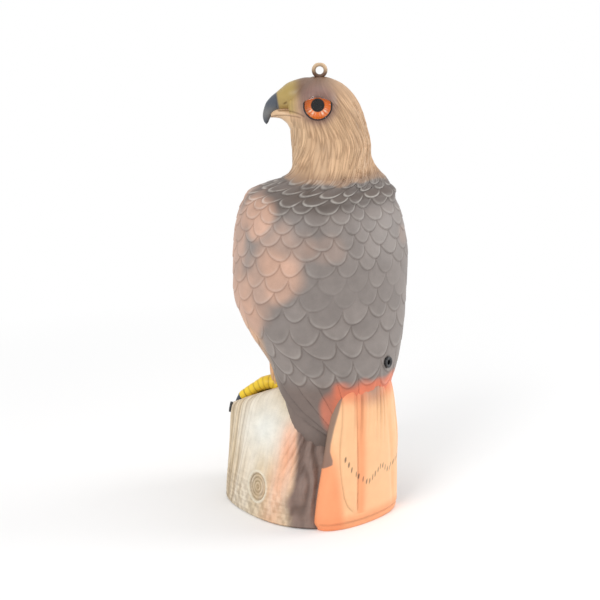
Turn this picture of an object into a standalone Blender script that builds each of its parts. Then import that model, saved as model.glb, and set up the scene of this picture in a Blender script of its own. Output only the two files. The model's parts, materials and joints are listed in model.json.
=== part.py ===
"""Hollow moulded bird-of-prey decoy standing on a stump, with glazed eyes and two push-in plugs.

Units are metres, +Z is up. The moulding parts on the XZ plane, the beak points to -X, and the
side that is mostly seen faces -Y. The bird's body looks 45 degrees past its own head, so body
places are given forward, left and up from the body's axis. The origin lies at the middle of the
base, on the surface that the decoy stands on.
"""
import math

import bmesh
import bpy
import numpy as np
from mathutils import Vector

# Moulding
CROWN_HEIGHT = 0.392        # ground to the top of the skull
BODY_RADIUS = 0.080         # the body table below is in shares of this
BODY_AXIS_X = 0.003
BODY_AXIS_Y = -0.0015
WALL = 0.0018
FIT_GAP = 0.0003            # between pieces that touch
OVERRUN = 0.006             # how far cutters reach past what they cut
WELD = 0.00001              # points closer than this are one point
PROBE = 0.0004              # step over which a skin's slope is read

# Wings, folded against the back
WING_PROUD = 0.0035         # how far a wing stands off the body
WING_BURIED = 0.004         # how far it is sunk into the body
WING_EDGE_ROUND = 0.0012

# Stump
STUMP_RADIUS = 0.070
STUMP_HEIGHT = 0.104        # at the middle of its sloping top
STUMP_X = -0.014
STUMP_Y = 0.0
STUMP_LEAN_X = -0.010       # middle of the top from the middle of the foot
STUMP_LEAN_Y = 0.016
STUMP_TOP_FALL = 0.45       # drop of the top per length forward
BASE_EDGE_RADIUS = 0.003

# Tail, a broad fan from under the wings to the ground
TAIL_HEIGHT = 0.135
TAIL_WIDTH = 0.098          # across the fan at the ground
TAIL_REACH = 0.0800         # body axis to the outer face at the ground
TAIL_HALF_THICK = 0.016
TAIL_BULGE = 0.004          # how far the fan's edges sweep forward
TAIL_SHIFT = 0.013          # to the bird's left, at the ground
TAIL_VALLEY_DEPTH = 0.0013  # between two tail feathers
TAIL_VALLEY_REACH = 0.0030  # from a valley's middle to where it has mostly died away

# Underside: a standing rim round a pushed-up floor
RIM_WIDTH = 0.008
FLOOR_RISE = 0.003

# Beak, in the parting plane; its heights are shares of the crown height
BEAK_ROOT_X = -0.012
BEAK_LENGTH = 0.0362
BEAK_RIDGE_SHARE = 0.9936
BEAK_DEPTH = 0.0402
BEAK_HALF_WIDTH = 0.016
JAW_ROOT_X = -0.010
JAW_LENGTH = 0.033
JAW_DEPTH = 0.024
JAW_TOP_SHARE = 0.9247
JAW_HALF_WIDTH = 0.015

# Eyes
EYE_X = 0.0006
EYE_HEIGHT_SHARE = 0.9431   # of the crown height
EYE_DIAMETER = 0.0256
EYE_PROUD = 0.0017          # cup rim above the side of the skull at the eye
EYE_CUP_WALL = 0.0011
EYE_CUP_FLOOR = 0.0020
EYE_CUP_DEPTH = 0.0100
IRIS_THICKNESS = 0.0012
LENS_RISE = 0.0042
BROW_RADIUS = 0.0042
BROW_LENGTH = 0.030
BROW_LIFT = 0.0118          # eye centre to the brow's axis
BROW_SINK_SHARE = 0.55      # of its radius, into the skull at its middle
BROW_BEND_SHARE = 0.9       # of its radius, further in and down towards its ends
BROW_END_SHARE = 0.17       # of its radius, at its tips

# Hanging loop on the crown
LOOP_DIAMETER = 0.0136
LOOP_HOLE = 0.0072
LOOP_THICKNESS = 0.0046
LOOP_X = 0.0022
LOOP_CENTRE_RISE = 0.0054   # crown to the middle of the hole

# Legs and feet
FOOT_FORWARD = 0.030
FOOT_SPREAD = 0.022
THIGH_RADIUS = 0.0130
THIGH_TOP = 0.160
THIGH_LEAN = 0.0054         # its top behind the ankle
TOE_LENGTH = 0.036
TOE_RADIUS = 0.0074
TOE_TURNS = (math.radians(-20), math.radians(4), math.radians(32), math.radians(170))
HIND_TOE_SHARE = 0.5
TOE_FLATNESS = 0.85         # a toe's height over its width
CLAW_LENGTH = 0.009
FOOT_RISE = 0.009           # top of the foot above the stump
# From the knee down: thigh width as a share of its radius.
THIGH_WIDTH_SHARES = (0.80, 0.88, 0.91, 0.90, 0.83, 0.71, 0.52, 0.30)
# From the ankle out: a toe's lift off the stump and its half width, as shares of its radius.
TOE_LIFT_SHARES = (0.35, 0.93, 1.10, 0.95, 0.64, 0.36)
TOE_WIDTH_SHARES = (1.17, 1.00, 0.99, 0.81, 0.78, 0.67)
# From the toe out: place along a claw and its drop as shares of its length, and its half
# width as a share of the toe's radius.
CLAW_SHARES = ((0.15, 0.01, 0.54), (0.43, 0.11, 0.40), (0.72, 0.31, 0.26), (1.00, 0.60, 0.12))

# Push-in plugs
PLUG_FLANGE_DIAMETER = 0.0100
PLUG_FLANGE_THICKNESS = 0.0024
PLUG_HOLE_DIAMETER = 0.0080
PLUG_BARREL_LENGTH = 0.0070
PLUG_RECESS_DIAMETER = 0.0046
PLUG_RECESS_DEPTH = 0.0058
PLUG_SEAT_DEPTH = 0.0010    # spot face below the moulding's skin
BACK_PLUG_Z = 0.144
BACK_PLUG_TURN = math.radians(-170)
STUMP_PLUG_Z = 0.080
STUMP_PLUG_TURN = math.radians(45)

BODY_HEADING = math.radians(135)
HEAD_HEADING = math.radians(180)

# Points round a ring, and rings
BODY_STEPS = 36
BODY_RINGS = 44
HOLLOW_STEPS = 18
HOLLOW_RINGS = 21
WING_RINGS = 22
WING_HOLLOW_RINGS = 9
WING_TOP_POINTS = 15
WING_UNDER_POINTS = 5
STUMP_STEPS = 36
STUMP_HOLLOW_STEPS = 20
TAIL_STEPS = 50
TAIL_HOLLOW_STEPS = 20
THIGH_STEPS = 12
TOE_STEPS = 8
BEAK_STEPS = 14
BROW_STEPS = 10
LOOP_STEPS = 20
PLUG_STEPS = 20
EYE_STEPS = 24
LENS_RINGS = 7

# Height as a share of the crown height; centre in x and y, then the radii ahead, ahead to
# the side, to the side, behind to the side and behind, as shares of the body radius.
BODY_LEVEL_SHARES = (
    (0.150, 0.21, -0.19, 0.52, 0.54, 0.55, 0.55, 0.54),
    (0.200, 0.21, -0.19, 0.50, 0.55, 0.66, 0.60, 0.57),
    (0.250, 0.21, -0.19, 0.56, 0.59, 0.69, 0.60, 0.61),
    (0.300, 0.20, -0.17, 0.63, 0.64, 0.73, 0.66, 0.68),
    (0.350, 0.18, -0.16, 0.70, 0.70, 0.79, 0.75, 0.75),
    (0.400, 0.12, -0.10, 0.80, 0.82, 0.88, 0.86, 0.82),
    (0.450, 0.07, -0.05, 0.88, 0.91, 0.97, 0.94, 0.87),
    (0.500, 0.04, -0.03, 0.96, 0.98, 1.02, 0.98, 0.90),
    (0.550, 0.04, -0.02, 0.99, 0.99, 1.03, 0.99, 0.90),
    (0.600, 0.04, -0.02, 1.00, 0.99, 1.02, 0.99, 0.89),
    (0.650, 0.03, -0.01, 0.97, 0.96, 1.00, 0.96, 0.85),
    (0.690, 0.03, -0.01, 0.91, 0.92, 0.95, 0.91, 0.79),
    (0.720, 0.03, -0.01, 0.84, 0.87, 0.88, 0.85, 0.71),
    (0.740, 0.05, -0.01, 0.77, 0.82, 0.83, 0.83, 0.67),
    (0.755, 0.10, -0.01, 0.65, 0.71, 0.73, 0.72, 0.58),
    (0.770, 0.17, -0.02, 0.53, 0.59, 0.61, 0.61, 0.51),
    (0.790, 0.19, -0.02, 0.47, 0.49, 0.52, 0.51, 0.46),
    (0.820, 0.17, -0.01, 0.45, 0.45, 0.45, 0.45, 0.44),
    (0.850, 0.16, 0.00, 0.45, 0.42, 0.40, 0.42, 0.445),
    (0.880, 0.14, 0.00, 0.44, 0.40, 0.36, 0.39, 0.43),
    (0.910, 0.11, 0.00, 0.42, 0.385, 0.345, 0.38, 0.42),
    (0.940, 0.07, 0.00, 0.40, 0.36, 0.335, 0.36, 0.40),
    (0.965, 0.035, 0.00, 0.35, 0.32, 0.295, 0.32, 0.355),
    (0.985, 0.025, 0.00, 0.25, 0.235, 0.22, 0.235, 0.255),
    (0.997, 0.025, 0.00, 0.125, 0.12, 0.115, 0.12, 0.125),
    (1.000, 0.025, 0.00, 0.06, 0.06, 0.06, 0.06, 0.06),
)
NECK_START_SHARE = 0.74
NECK_END_SHARE = 0.88
WRIST_FADE_SHARE = 0.06     # height over which the wings' seat in the body fades out
SPINE_TURN = 0.94           # how far round the back the wings' seat reaches
SEAT_END_TURN = math.radians(24)    # turn over which the seat rises to a wing's back edge

# Height as a share of the crown height, then the wing's front and back edge as shares of
# the half turn from straight ahead to straight behind.
WING_EDGE_SHARES = (
    (0.742, 0.36, 0.52),
    (0.725, 0.28, 0.62),
    (0.690, 0.24, 0.73),
    (0.640, 0.22, 0.83),
    (0.580, 0.21, 0.91),
    (0.520, 0.21, 0.95),
    (0.460, 0.23, 0.97),
    (0.400, 0.26, 0.98),
    (0.350, 0.31, 0.985),
    (0.300, 0.39, 0.985),
    (0.260, 0.49, 0.97),
    (0.230, 0.60, 0.93),
    (0.205, 0.70, 0.87),
    (0.188, 0.77, 0.82),
)
# The stretch of that table, from its first row, in which a wing is hollow.
WING_HOLLOW_SHARES = (0.2, 0.72)

# Stump outline at the ground in shares of its radius, ahead round to behind.
STUMP_FOOT_SHARES = (1.00, 1.01, 0.99, 1.22, 1.315)
# The same at the top, where the roots' flare under the tail has died away.
STUMP_TOP_SHARES = (0.82, 0.86, 0.80, 0.76, 0.76)
# Height as a share of the stump's height there, width as a share of the outline.
STUMP_PROFILE_SHARES = (
    (0.14, 1.0), (0.30, 0.99), (0.46, 0.97), (0.62, 0.955), (0.77, 0.945),
    (0.89, 0.935), (0.95, 0.92), (0.98, 0.885), (0.995, 0.83), (1.0, 0.66), (1.0, 0.35),
)

# Height as a share of the tail's height, then reach, width and shift as shares of the
# tail's values at the ground.
TAIL_LEVEL_SHARES = (
    (0.0, 0.985, 0.97, 1.0), (0.02, 0.995, 0.99, 1.0), (0.06, 1.0, 1.0, 1.0),
    (0.20, 0.99, 0.97, 0.8), (0.36, 0.975, 0.92, 0.5), (0.52, 0.955, 0.86, 0.2),
    (0.66, 0.93, 0.79, 0.0), (0.80, 0.91, 0.72, -0.1), (0.90, 0.89, 0.66, -0.1),
    (1.0, 0.86, 0.60, 0.0),
)

TAIL_SQUARENESS = (0.85, 0.75)  # powers of the fan's outline, across and through
# Valleys between tail feathers: left of the body's axis at the ground and at the tail's top,
# as shares of the tail's width; and the share of the tail's height where they are full.
TAIL_VALLEY_SHARES = ((-0.38, -0.27), (-0.20, -0.13), (0.315, 0.185), (0.42, 0.37))
TAIL_VALLEY_START_SHARE = 0.20

# Beak stations: ridge along and down, underside along and down, and half width, in shares.
BEAK_STATION_SHARES = (
    (0.00, 0.00, 0.00, 0.72, 1.00), (0.36, 0.01, 0.18, 0.68, 0.88),
    (0.54, 0.12, 0.38, 0.65, 0.73), (0.67, 0.19, 0.54, 0.66, 0.60),
    (0.76, 0.26, 0.63, 0.69, 0.50), (0.84, 0.37, 0.70, 0.72, 0.41),
    (0.92, 0.50, 0.745, 0.75, 0.32), (0.98, 0.69, 0.785, 0.81, 0.235),
    (0.995, 0.82, 0.82, 0.86, 0.165), (0.965, 0.93, 0.85, 0.925, 0.105),
    (0.91, 0.99, 0.88, 0.97, 0.05),
)
# Lower jaw stations: the same.
JAW_STATION_SHARES = (
    (0.00, -0.05, -0.05, 1.00, 1.00), (0.30, -0.11, 0.35, 0.80, 0.86),
    (0.52, -0.12, 0.50, 0.50, 0.70), (0.70, -0.11, 0.66, 0.33, 0.54),
    (0.84, -0.07, 0.82, 0.285, 0.38), (0.93, 0.03, 0.93, 0.29, 0.20),
)


def heading_vector(heading):
    """Unit vector in plan for a heading measured from +X."""
    return np.array([math.cos(heading), math.sin(heading), 0.0])


FORWARD = heading_vector(BODY_HEADING)
LEFT = heading_vector(BODY_HEADING + math.pi / 2)


def body_place(forward, left, up):
    """World place of a point given ahead of, left of and above the body's axis on the ground."""
    axis = np.array([BODY_AXIS_X, BODY_AXIS_Y, 0.0])
    return axis + forward * FORWARD + left * LEFT + np.array([0.0, 0.0, up])


def smooth_step(value):
    """Ease from 0 to 1."""
    value = np.clip(value, 0.0, 1.0)
    return value * value * (3.0 - 2.0 * value)


def through_rows(rows, at):
    """Smooth curve through evenly spaced table rows, read at row numbers."""
    rows = np.asarray(rows, dtype=float)
    at = np.clip(np.atleast_1d(at), 0.0, len(rows) - 1.0)
    first = np.minimum(at.astype(int), len(rows) - 2)
    share = (at - first)[:, None]
    before = rows[np.maximum(first - 1, 0)]
    start = rows[first]
    end = rows[first + 1]
    after = rows[np.minimum(first + 2, len(rows) - 1)]
    leave = (end - before) / 2
    arrive = (after - start) / 2
    bend = 3 * (end - start) - 2 * leave - arrive
    return start + share * (leave + share * (bend + share * (leave + arrive - 2 * (end - start))))


def outline_radius(five, turn):
    """Radius at each turn from straight ahead: a cosine series through five radii, alike on
    both sides."""
    five = np.asarray(five, dtype=float)
    ends = np.array([0.5, 1.0, 1.0, 1.0, 0.5])
    quarter = np.arange(5) * math.pi / 4
    radius = np.zeros(np.broadcast(five[..., 0], turn).shape)
    for order in range(5):
        weight = ends[order] / 2 * np.sum(five * ends * np.cos(order * quarter), axis=-1)
        radius = radius + weight * np.cos(order * turn)
    return radius


def body_level_at(height):
    """Row number of the body table at a height."""
    rows = np.array([row[0] for row in BODY_LEVEL_SHARES])
    return np.interp(height / CROWN_HEIGHT, rows, np.arange(len(rows)))


def body_skin(level, turn):
    """Place on the outermost skin of body, neck and head, from table row and turn to the left."""
    row = through_rows(BODY_LEVEL_SHARES, level)
    turned = smooth_step((row[:, 0] - NECK_START_SHARE) / (NECK_END_SHARE - NECK_START_SHARE))
    heading = BODY_HEADING + turned * (HEAD_HEADING - BODY_HEADING)
    radius = BODY_RADIUS * outline_radius(row[:, 3:8], turn)
    place = np.empty((len(row), 3))
    place[:, 0] = row[:, 1] * BODY_RADIUS + radius * np.cos(heading + turn)
    place[:, 1] = row[:, 2] * BODY_RADIUS + radius * np.sin(heading + turn)
    place[:, 2] = row[:, 0] * CROWN_HEIGHT
    return place


def grid_of(skin, levels, turns):
    """Rings of points of a skin function, one ring a level."""
    rows, columns = np.meshgrid(levels, turns, indexing="ij")
    return skin(rows.ravel(), columns.ravel()).reshape(len(levels), len(turns), 3)


def grid_normals(grid):
    """Outward normals of rings that run anticlockwise from low to high."""
    around = np.roll(grid, -1, axis=1) - np.roll(grid, 1, axis=1)
    upward = np.gradient(grid, axis=0)
    normal = np.cross(around, upward)
    return normal / np.maximum(np.linalg.norm(normal, axis=2, keepdims=True), 1e-12)


def sunk(grid, depth):
    """The rings moved inward along their normals, by one depth or by one for each point."""
    return grid - grid_normals(grid) * np.broadcast_to(depth, grid.shape[:2])[:, :, None]


def new_object(name, mesh, cutter=False):
    """Link a mesh as an object; a cutter is only used by Booleans."""
    thing = bpy.data.objects.new(name, mesh)
    bpy.context.scene.collection.objects.link(thing)
    if cutter:
        thing.hide_render = True
        thing.display_type = 'WIRE'
    return thing


def loft(name, rings, cutter=True):
    """Closed skin through rings of points, each end closed by a fan."""
    rings = np.asarray(rings, dtype=float)
    count, around = rings.shape[:2]
    shape = bmesh.new()
    points = [[shape.verts.new(place) for place in ring] for ring in rings]
    for low, high in zip(points, points[1:]):
        for step in range(around):
            after = (step + 1) % around
            shape.faces.new((low[step], low[after], high[after], high[step]))
    for ring, upward in ((points[0], False), (points[-1], True)):
        middle = shape.verts.new(sum((vert.co for vert in ring), Vector()) / around)
        for step in range(around):
            pair = (ring[step], ring[(step + 1) % around])
            shape.faces.new((*pair, middle) if upward else (*reversed(pair), middle))
    bmesh.ops.triangulate(shape, faces=shape.faces)
    bmesh.ops.recalc_face_normals(shape, faces=shape.faces)
    mesh = bpy.data.meshes.new(name)
    shape.to_mesh(mesh)
    shape.free()
    mesh.shade_smooth()
    return new_object(name, mesh, cutter)


def turned(name, profile, steps, place, axis, cutter=False):
    """Piece turned about an axis: profile points are radius and distance along it, starting
    and ending on the axis."""
    shape = bmesh.new()
    verts = [shape.verts.new((radius, 0.0, along)) for radius, along in profile]
    edges = [shape.edges.new(pair) for pair in zip(verts, verts[1:])]
    bmesh.ops.spin(shape, geom=verts + edges, cent=(0, 0, 0), axis=(0, 0, 1),
                   angle=2 * math.pi, steps=steps, use_merge=True)
    bmesh.ops.remove_doubles(shape, verts=shape.verts, dist=WELD)
    bmesh.ops.recalc_face_normals(shape, faces=shape.faces)
    mesh = bpy.data.meshes.new(name)
    shape.to_mesh(mesh)
    shape.free()
    thing = new_object(name, mesh, cutter)
    thing.location = place
    thing.rotation_euler = Vector(axis).to_track_quat('Z', 'Y').to_euler()
    return thing


def rod(name, radius, start, end, place, axis):
    """Plain cylinder cutter between two distances along an axis."""
    profile = ((0.0, start), (radius, start), (radius, end), (0.0, end))
    return turned(name, profile, EYE_STEPS, place, axis, cutter=True)


def combine(target, name, tools, operation):
    """Boolean of one object with a collection of others, kept as a modifier."""
    group = bpy.data.collections.new(name)
    bpy.context.scene.collection.children.link(group)
    for tool in tools:
        bpy.context.scene.collection.objects.unlink(tool)
        group.objects.link(tool)
    step = target.modifiers.new(name, 'BOOLEAN')
    step.operation = operation
    step.solver = 'EXACT'
    step.operand_type = 'COLLECTION'
    step.collection = group


def material(name, colour, roughness, metallic=0.0, alpha=1.0):
    """Principled material."""
    made = bpy.data.materials.new(name)
    made.use_nodes = True
    surface = made.node_tree.nodes["Principled BSDF"]
    surface.inputs["Base Color"].default_value = (*colour, 1.0)
    surface.inputs["Roughness"].default_value = roughness
    surface.inputs["Metallic"].default_value = metallic
    surface.inputs["Alpha"].default_value = alpha
    return made


def finish(thing, surface):
    """Give a piece its material and smooth shading with sharp edges kept."""
    thing.data.materials.clear()
    thing.data.materials.append(surface)
    thing.data.shade_smooth()
    thing.data.set_sharp_from_angle(angle=math.radians(40))


def body_rings(steps, count, depth):
    """Rings of the body skin by depth, drawn in at the sides to lie under the wings up to
    each wing's back edge."""
    rows = len(BODY_LEVEL_SHARES) - 1
    levels = np.linspace(0.0, rows, count)
    turns = np.arange(steps) * 2 * math.pi / steps
    heights = through_rows(BODY_LEVEL_SHARES, levels)[:, 0]
    below_wrist = smooth_step((NECK_START_SHARE - heights) / WRIST_FADE_SHARE)[:, None]
    off_spine = smooth_step((SPINE_TURN + np.cos(turns)) / (SPINE_TURN / 2))[None, :]
    edges = np.array(WING_EDGE_SHARES)[::-1]
    back = math.pi * np.interp(heights, edges[:, 0], edges[:, 2])[:, None]
    under_wing = smooth_step((back - np.minimum(turns, 2 * math.pi - turns)) / SEAT_END_TURN)
    seat = WING_PROUD * below_wrist * off_spine * under_wing
    return sunk(grid_of(body_skin, levels, turns), seat + depth)


def wing_rings(side, depth=0.0):
    """Rings of a folded wing, a curved blade lying on the body, from its tip up to the wrist;
    with a depth, the hollow inside it."""
    rows = len(WING_EDGE_SHARES) - 1.0
    points, count, first, last = WING_TOP_POINTS, WING_RINGS, 0.0, 1.0
    if depth:
        points, count = WING_TOP_POINTS // 2, WING_HOLLOW_RINGS
        first, last = WING_HOLLOW_SHARES
    reads = through_rows(WING_EDGE_SHARES, rows * np.linspace(last, first, count))
    margin = depth * 2 / BODY_RADIUS
    over = np.linspace(0.0, math.pi, points)
    below = np.linspace(math.pi, 0.0, WING_UNDER_POINTS)
    across = np.concatenate([over, below])
    full = np.minimum(1.0, np.sin(over) * 2)
    sink = np.concatenate([WING_EDGE_ROUND * (1.0 - full),
                           np.full(WING_UNDER_POINTS, WING_PROUD + WING_BURIED)]) + depth
    rings = []
    for height, front, back in reads:
        shares = (1.0 - np.cos(across)) / 2
        turns = side * math.pi * (front + margin + (back - front - 2 * margin) * shares)
        level = np.full(len(turns), body_level_at(height * CROWN_HEIGHT)[()])
        outer = body_skin(level, turns)
        away = outer - np.array([BODY_AXIS_X, BODY_AXIS_Y, 0.0])
        away[:, 2] = 0.0
        away /= np.linalg.norm(away, axis=1, keepdims=True)
        ring = outer - away * sink[:, None]
        rings.append(ring if side > 0 else ring[::-1])
    return rings


def stump_place(spread, share, turn):
    """Place on or in the stump: spread of its outline, share of its height, turn from ahead."""
    foot = outline_radius(STUMP_FOOT_SHARES, turn)
    top = outline_radius(STUMP_TOP_SHARES, turn)
    radius = STUMP_RADIUS * spread * (foot + (top - foot) * share)
    height = share * (STUMP_HEIGHT - STUMP_TOP_FALL * radius * np.cos(turn))
    return np.stack([STUMP_X + STUMP_LEAN_X * share + radius * np.cos(BODY_HEADING + turn),
                     STUMP_Y + STUMP_LEAN_Y * share + radius * np.sin(BODY_HEADING + turn),
                     height], axis=-1)


def stump_rings(steps, depth):
    """Rings of the stump with a rounded foot and rim and a top that falls forward; with a
    depth, the hollow inside it."""
    turns = np.arange(steps) * 2 * math.pi / steps
    rings = []
    for angle in (0.0, 30.0, 60.0):
        inward = BASE_EDGE_RADIUS * (1.0 - math.sin(math.radians(angle)))
        foot = stump_place(1.0 - inward / STUMP_RADIUS, 0.0, turns)
        foot[:, 2] = BASE_EDGE_RADIUS * (1.0 - math.cos(math.radians(angle)))
        rings.append(foot)
    for share, spread in STUMP_PROFILE_SHARES:
        rings.append(stump_place(spread, share, turns))
    return hollowed(np.array(rings), depth, 2)


def hollowed(rings, depth, skipped):
    """Rings sunk to the inside of the wall, above the floor; unchanged without a depth."""
    if not depth:
        return rings
    rings = sunk(rings, depth)
    rings[:, :, 2] = np.maximum(rings[:, :, 2], FLOOR_RISE + depth)
    return rings[skipped:]


def tail_rings(steps, depth):
    """Rings of the tail, a bent fan with valleys between the feathers of its outer face."""
    rings = []
    turns = np.arange(steps) * 2 * math.pi / steps
    along = np.sign(np.cos(turns)) * np.abs(np.cos(turns)) ** TAIL_SQUARENESS[0]
    through = np.sign(np.sin(turns)) * np.abs(np.sin(turns)) ** TAIL_SQUARENESS[1]
    for height, reach, width, shift in TAIL_LEVEL_SHARES:
        left = TAIL_SHIFT * shift + TAIL_WIDTH / 2 * width * along
        behind = TAIL_REACH * reach - TAIL_HALF_THICK * (1.0 - through) - TAIL_BULGE * along ** 2
        for foot, top in TAIL_VALLEY_SHARES:
            off = (left - TAIL_WIDTH * (foot + (top - foot) * height)) / TAIL_VALLEY_REACH
            cut = TAIL_VALLEY_DEPTH * smooth_step(height / TAIL_VALLEY_START_SHARE)
            behind = behind - cut * np.exp(-off ** 2) * (through > 0)
        base = body_place(0.0, 0.0, height * TAIL_HEIGHT)
        rings.append(base - behind[:, None] * FORWARD + left[:, None] * LEFT)
    return hollowed(np.array(rings), depth, 2)


def station_rings(stations, root_x, root_z, length, depth, half_width):
    """Rings across a beak: each is an oval between a top and an underside point."""
    turns = np.arange(BEAK_STEPS) * 2 * math.pi / BEAK_STEPS
    rings = []
    for top_along, top_down, under_along, under_down, width in stations:
        top = np.array([root_x - top_along * length, 0.0, root_z - top_down * depth])
        under = np.array([root_x - under_along * length, 0.0, root_z - under_down * depth])
        middle = (top + under) / 2
        rise = (top - under) / 2
        side = np.array([0.0, half_width * width, 0.0])
        rings.append(middle + np.cos(turns)[:, None] * rise + np.sin(turns)[:, None] * side)
    return rings


def tube(name, centres, radii, steps, flat=1.0):
    """Tapered tube along a path of centres, each ring square to the path; flat is its height
    over its width."""
    centres = np.asarray(centres, dtype=float)
    ways = np.gradient(centres, axis=0)
    rings = []
    for centre, way, radius in zip(centres, ways, radii):
        way = Vector(way).normalized()
        side = way.cross(Vector((0, 0, 1))).normalized()
        lift = side.cross(way)
        rings.append([np.array(centre) + radius * (math.cos(turn) * np.array(side)
                      + flat * math.sin(turn) * np.array(lift))
                      for turn in np.arange(steps) * 2 * math.pi / steps])
    return loft(name, rings)


def foot_pieces(side):
    """Thigh, three toes ahead and one behind with claws, as solids to join to the moulding."""
    name = "left" if side > 0 else "right"
    left = side * FOOT_SPREAD
    pieces = []

    def top_at(forward, sideways):
        middle = np.array([STUMP_X + STUMP_LEAN_X, STUMP_Y + STUMP_LEAN_Y, 0.0])
        ahead = float((body_place(forward, sideways, 0.0) - middle) @ FORWARD)
        return STUMP_HEIGHT - STUMP_TOP_FALL * ahead

    ankle = top_at(FOOT_FORWARD, left) + FOOT_RISE
    count = len(THIGH_WIDTH_SHARES)
    heights = np.linspace(THIGH_TOP, ankle - 2 * FOOT_RISE, count)
    lean = np.linspace(FOOT_FORWARD - THIGH_LEAN, FOOT_FORWARD, count)
    thigh = [body_place(ahead, left, up) for ahead, up in zip(lean, heights)]
    pieces.append(tube("thigh_" + name, thigh, THIGH_RADIUS * np.array(THIGH_WIDTH_SHARES),
                       THIGH_STEPS))
    parts = np.linspace(0.0, 1.0, len(TOE_LIFT_SHARES))
    for number, turn in enumerate(TOE_TURNS):
        length = TOE_LENGTH * (1.0 if math.cos(turn) > 0 else HIND_TOE_SHARE)
        path = []
        for part, lift in zip(parts, TOE_LIFT_SHARES):
            ahead = FOOT_FORWARD + length * part * math.cos(turn)
            aside = left + side * length * part * math.sin(turn)
            up = top_at(ahead, aside) + TOE_RADIUS * lift
            path.append(Vector(body_place(ahead, aside, up)))
        way = (path[-1] - path[-2]).normalized()
        end = path[-1]
        radii = [TOE_RADIUS * width for width in TOE_WIDTH_SHARES]
        for part, drop, width in CLAW_SHARES:
            path.append(end + CLAW_LENGTH * (way * part - Vector((0, 0, drop))))
            radii.append(TOE_RADIUS * width)
        pieces.append(tube("toe_%s_%d" % (name, number), path, radii, TOE_STEPS, TOE_FLATNESS))
    return pieces


def skull_side():
    """Half width of the skull at the height of the eyes."""
    level = np.array([body_level_at(EYE_HEIGHT_SHARE * CROWN_HEIGHT)])
    return -body_skin(level, np.array([math.pi / 2]))[0, 1]


def eye_seat(side):
    """Middle of an eye socket's floor, at the depth that leaves the cup's rim proud."""
    floor = skull_side() + EYE_PROUD - EYE_CUP_DEPTH
    return (EYE_X, -side * floor, EYE_HEIGHT_SHARE * CROWN_HEIGHT)


def brow(side):
    """Bony brow over an eye: a short bent bar that shades its top."""
    share = np.linspace(-1.0, 1.0, 9)
    bend = BROW_BEND_SHARE * share ** 2
    path = np.stack([EYE_X + BROW_LENGTH / 2 * share,
                     -side * (skull_side() - BROW_RADIUS * (BROW_SINK_SHARE + bend)),
                     EYE_HEIGHT_SHARE * CROWN_HEIGHT + BROW_LIFT - BROW_RADIUS * bend], axis=1)
    radii = BROW_RADIUS * np.maximum(np.sqrt(1.0 - share ** 2), BROW_END_SHARE)
    return tube("brow_" + ("left" if side > 0 else "right"), path, radii, BROW_STEPS)


def hanging_loop():
    """Flat ring on the crown with its hole across the parting plane."""
    outer = LOOP_DIAMETER / 2
    inner = LOOP_HOLE / 2
    half = LOOP_THICKNESS / 2
    round_off = (outer - inner) / 4
    profile = ((inner, -half + round_off), (inner + round_off, -half), (outer - round_off, -half),
               (outer, -half + round_off), (outer, half - round_off), (outer - round_off, half),
               (inner + round_off, half), (inner, half - round_off))
    shape = bmesh.new()
    verts = [shape.verts.new((radius, 0.0, along)) for radius, along in profile]
    edges = [shape.edges.new((verts[step], verts[(step + 1) % 8])) for step in range(8)]
    bmesh.ops.spin(shape, geom=verts + edges, cent=(0, 0, 0), axis=(0, 0, 1),
                   angle=2 * math.pi, steps=LOOP_STEPS, use_merge=True)
    bmesh.ops.remove_doubles(shape, verts=shape.verts, dist=WELD)
    bmesh.ops.recalc_face_normals(shape, faces=shape.faces)
    mesh = bpy.data.meshes.new("hanging_loop")
    shape.to_mesh(mesh)
    shape.free()
    ring = new_object("hanging_loop", mesh, cutter=True)
    ring.location = (LOOP_X, 0.0, CROWN_HEIGHT + LOOP_CENTRE_RISE)
    ring.rotation_euler = (math.pi / 2, 0.0, 0.0)
    return ring


def skin_frame(height, turn, skin):
    """Place and outward normal of a skin function at a height and turn."""
    bit = PROBE / BODY_RADIUS
    place = skin(height, turn)
    up = skin(height + PROBE, turn) - skin(height - PROBE, turn)
    aside = skin(height, turn + bit) - skin(height, turn - bit)
    normal = np.cross(aside, up)
    return place, normal / np.linalg.norm(normal)


def body_at(height, turn):
    """Body skin read by height."""
    return body_skin(np.array([body_level_at(height)[()]]), np.array([turn]))[0]


def stump_side_at(height, turn):
    """Stump side read by height."""
    shares = np.array(STUMP_PROFILE_SHARES)
    share = height / stump_place(1.0, 1.0, turn)[2]
    return stump_place(np.interp(share, shares[:, 0], shares[:, 1]), share, turn)


def plug(name, seat, normal, surface):
    """Push-in plug: flange, barrel and a blind recess, turned about its pull direction."""
    flange = PLUG_FLANGE_DIAMETER / 2
    barrel = PLUG_HOLE_DIAMETER / 2 - FIT_GAP
    recess = PLUG_RECESS_DIAMETER / 2
    edge = PLUG_FLANGE_THICKNESS / 5
    top = PLUG_FLANGE_THICKNESS
    floor = top - PLUG_RECESS_DEPTH
    profile = ((0.0, -PLUG_BARREL_LENGTH), (barrel - edge, -PLUG_BARREL_LENGTH),
               (barrel, -PLUG_BARREL_LENGTH + 2 * edge), (barrel, 0.0), (flange, 0.0),
               (flange, top - edge), (flange - edge, top), (recess + edge, top),
               (recess, top - edge), (recess, floor), (0.0, floor))
    piece = turned(name, profile, PLUG_STEPS, seat + normal * FIT_GAP, normal)
    finish(piece, surface)
    return piece


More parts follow.
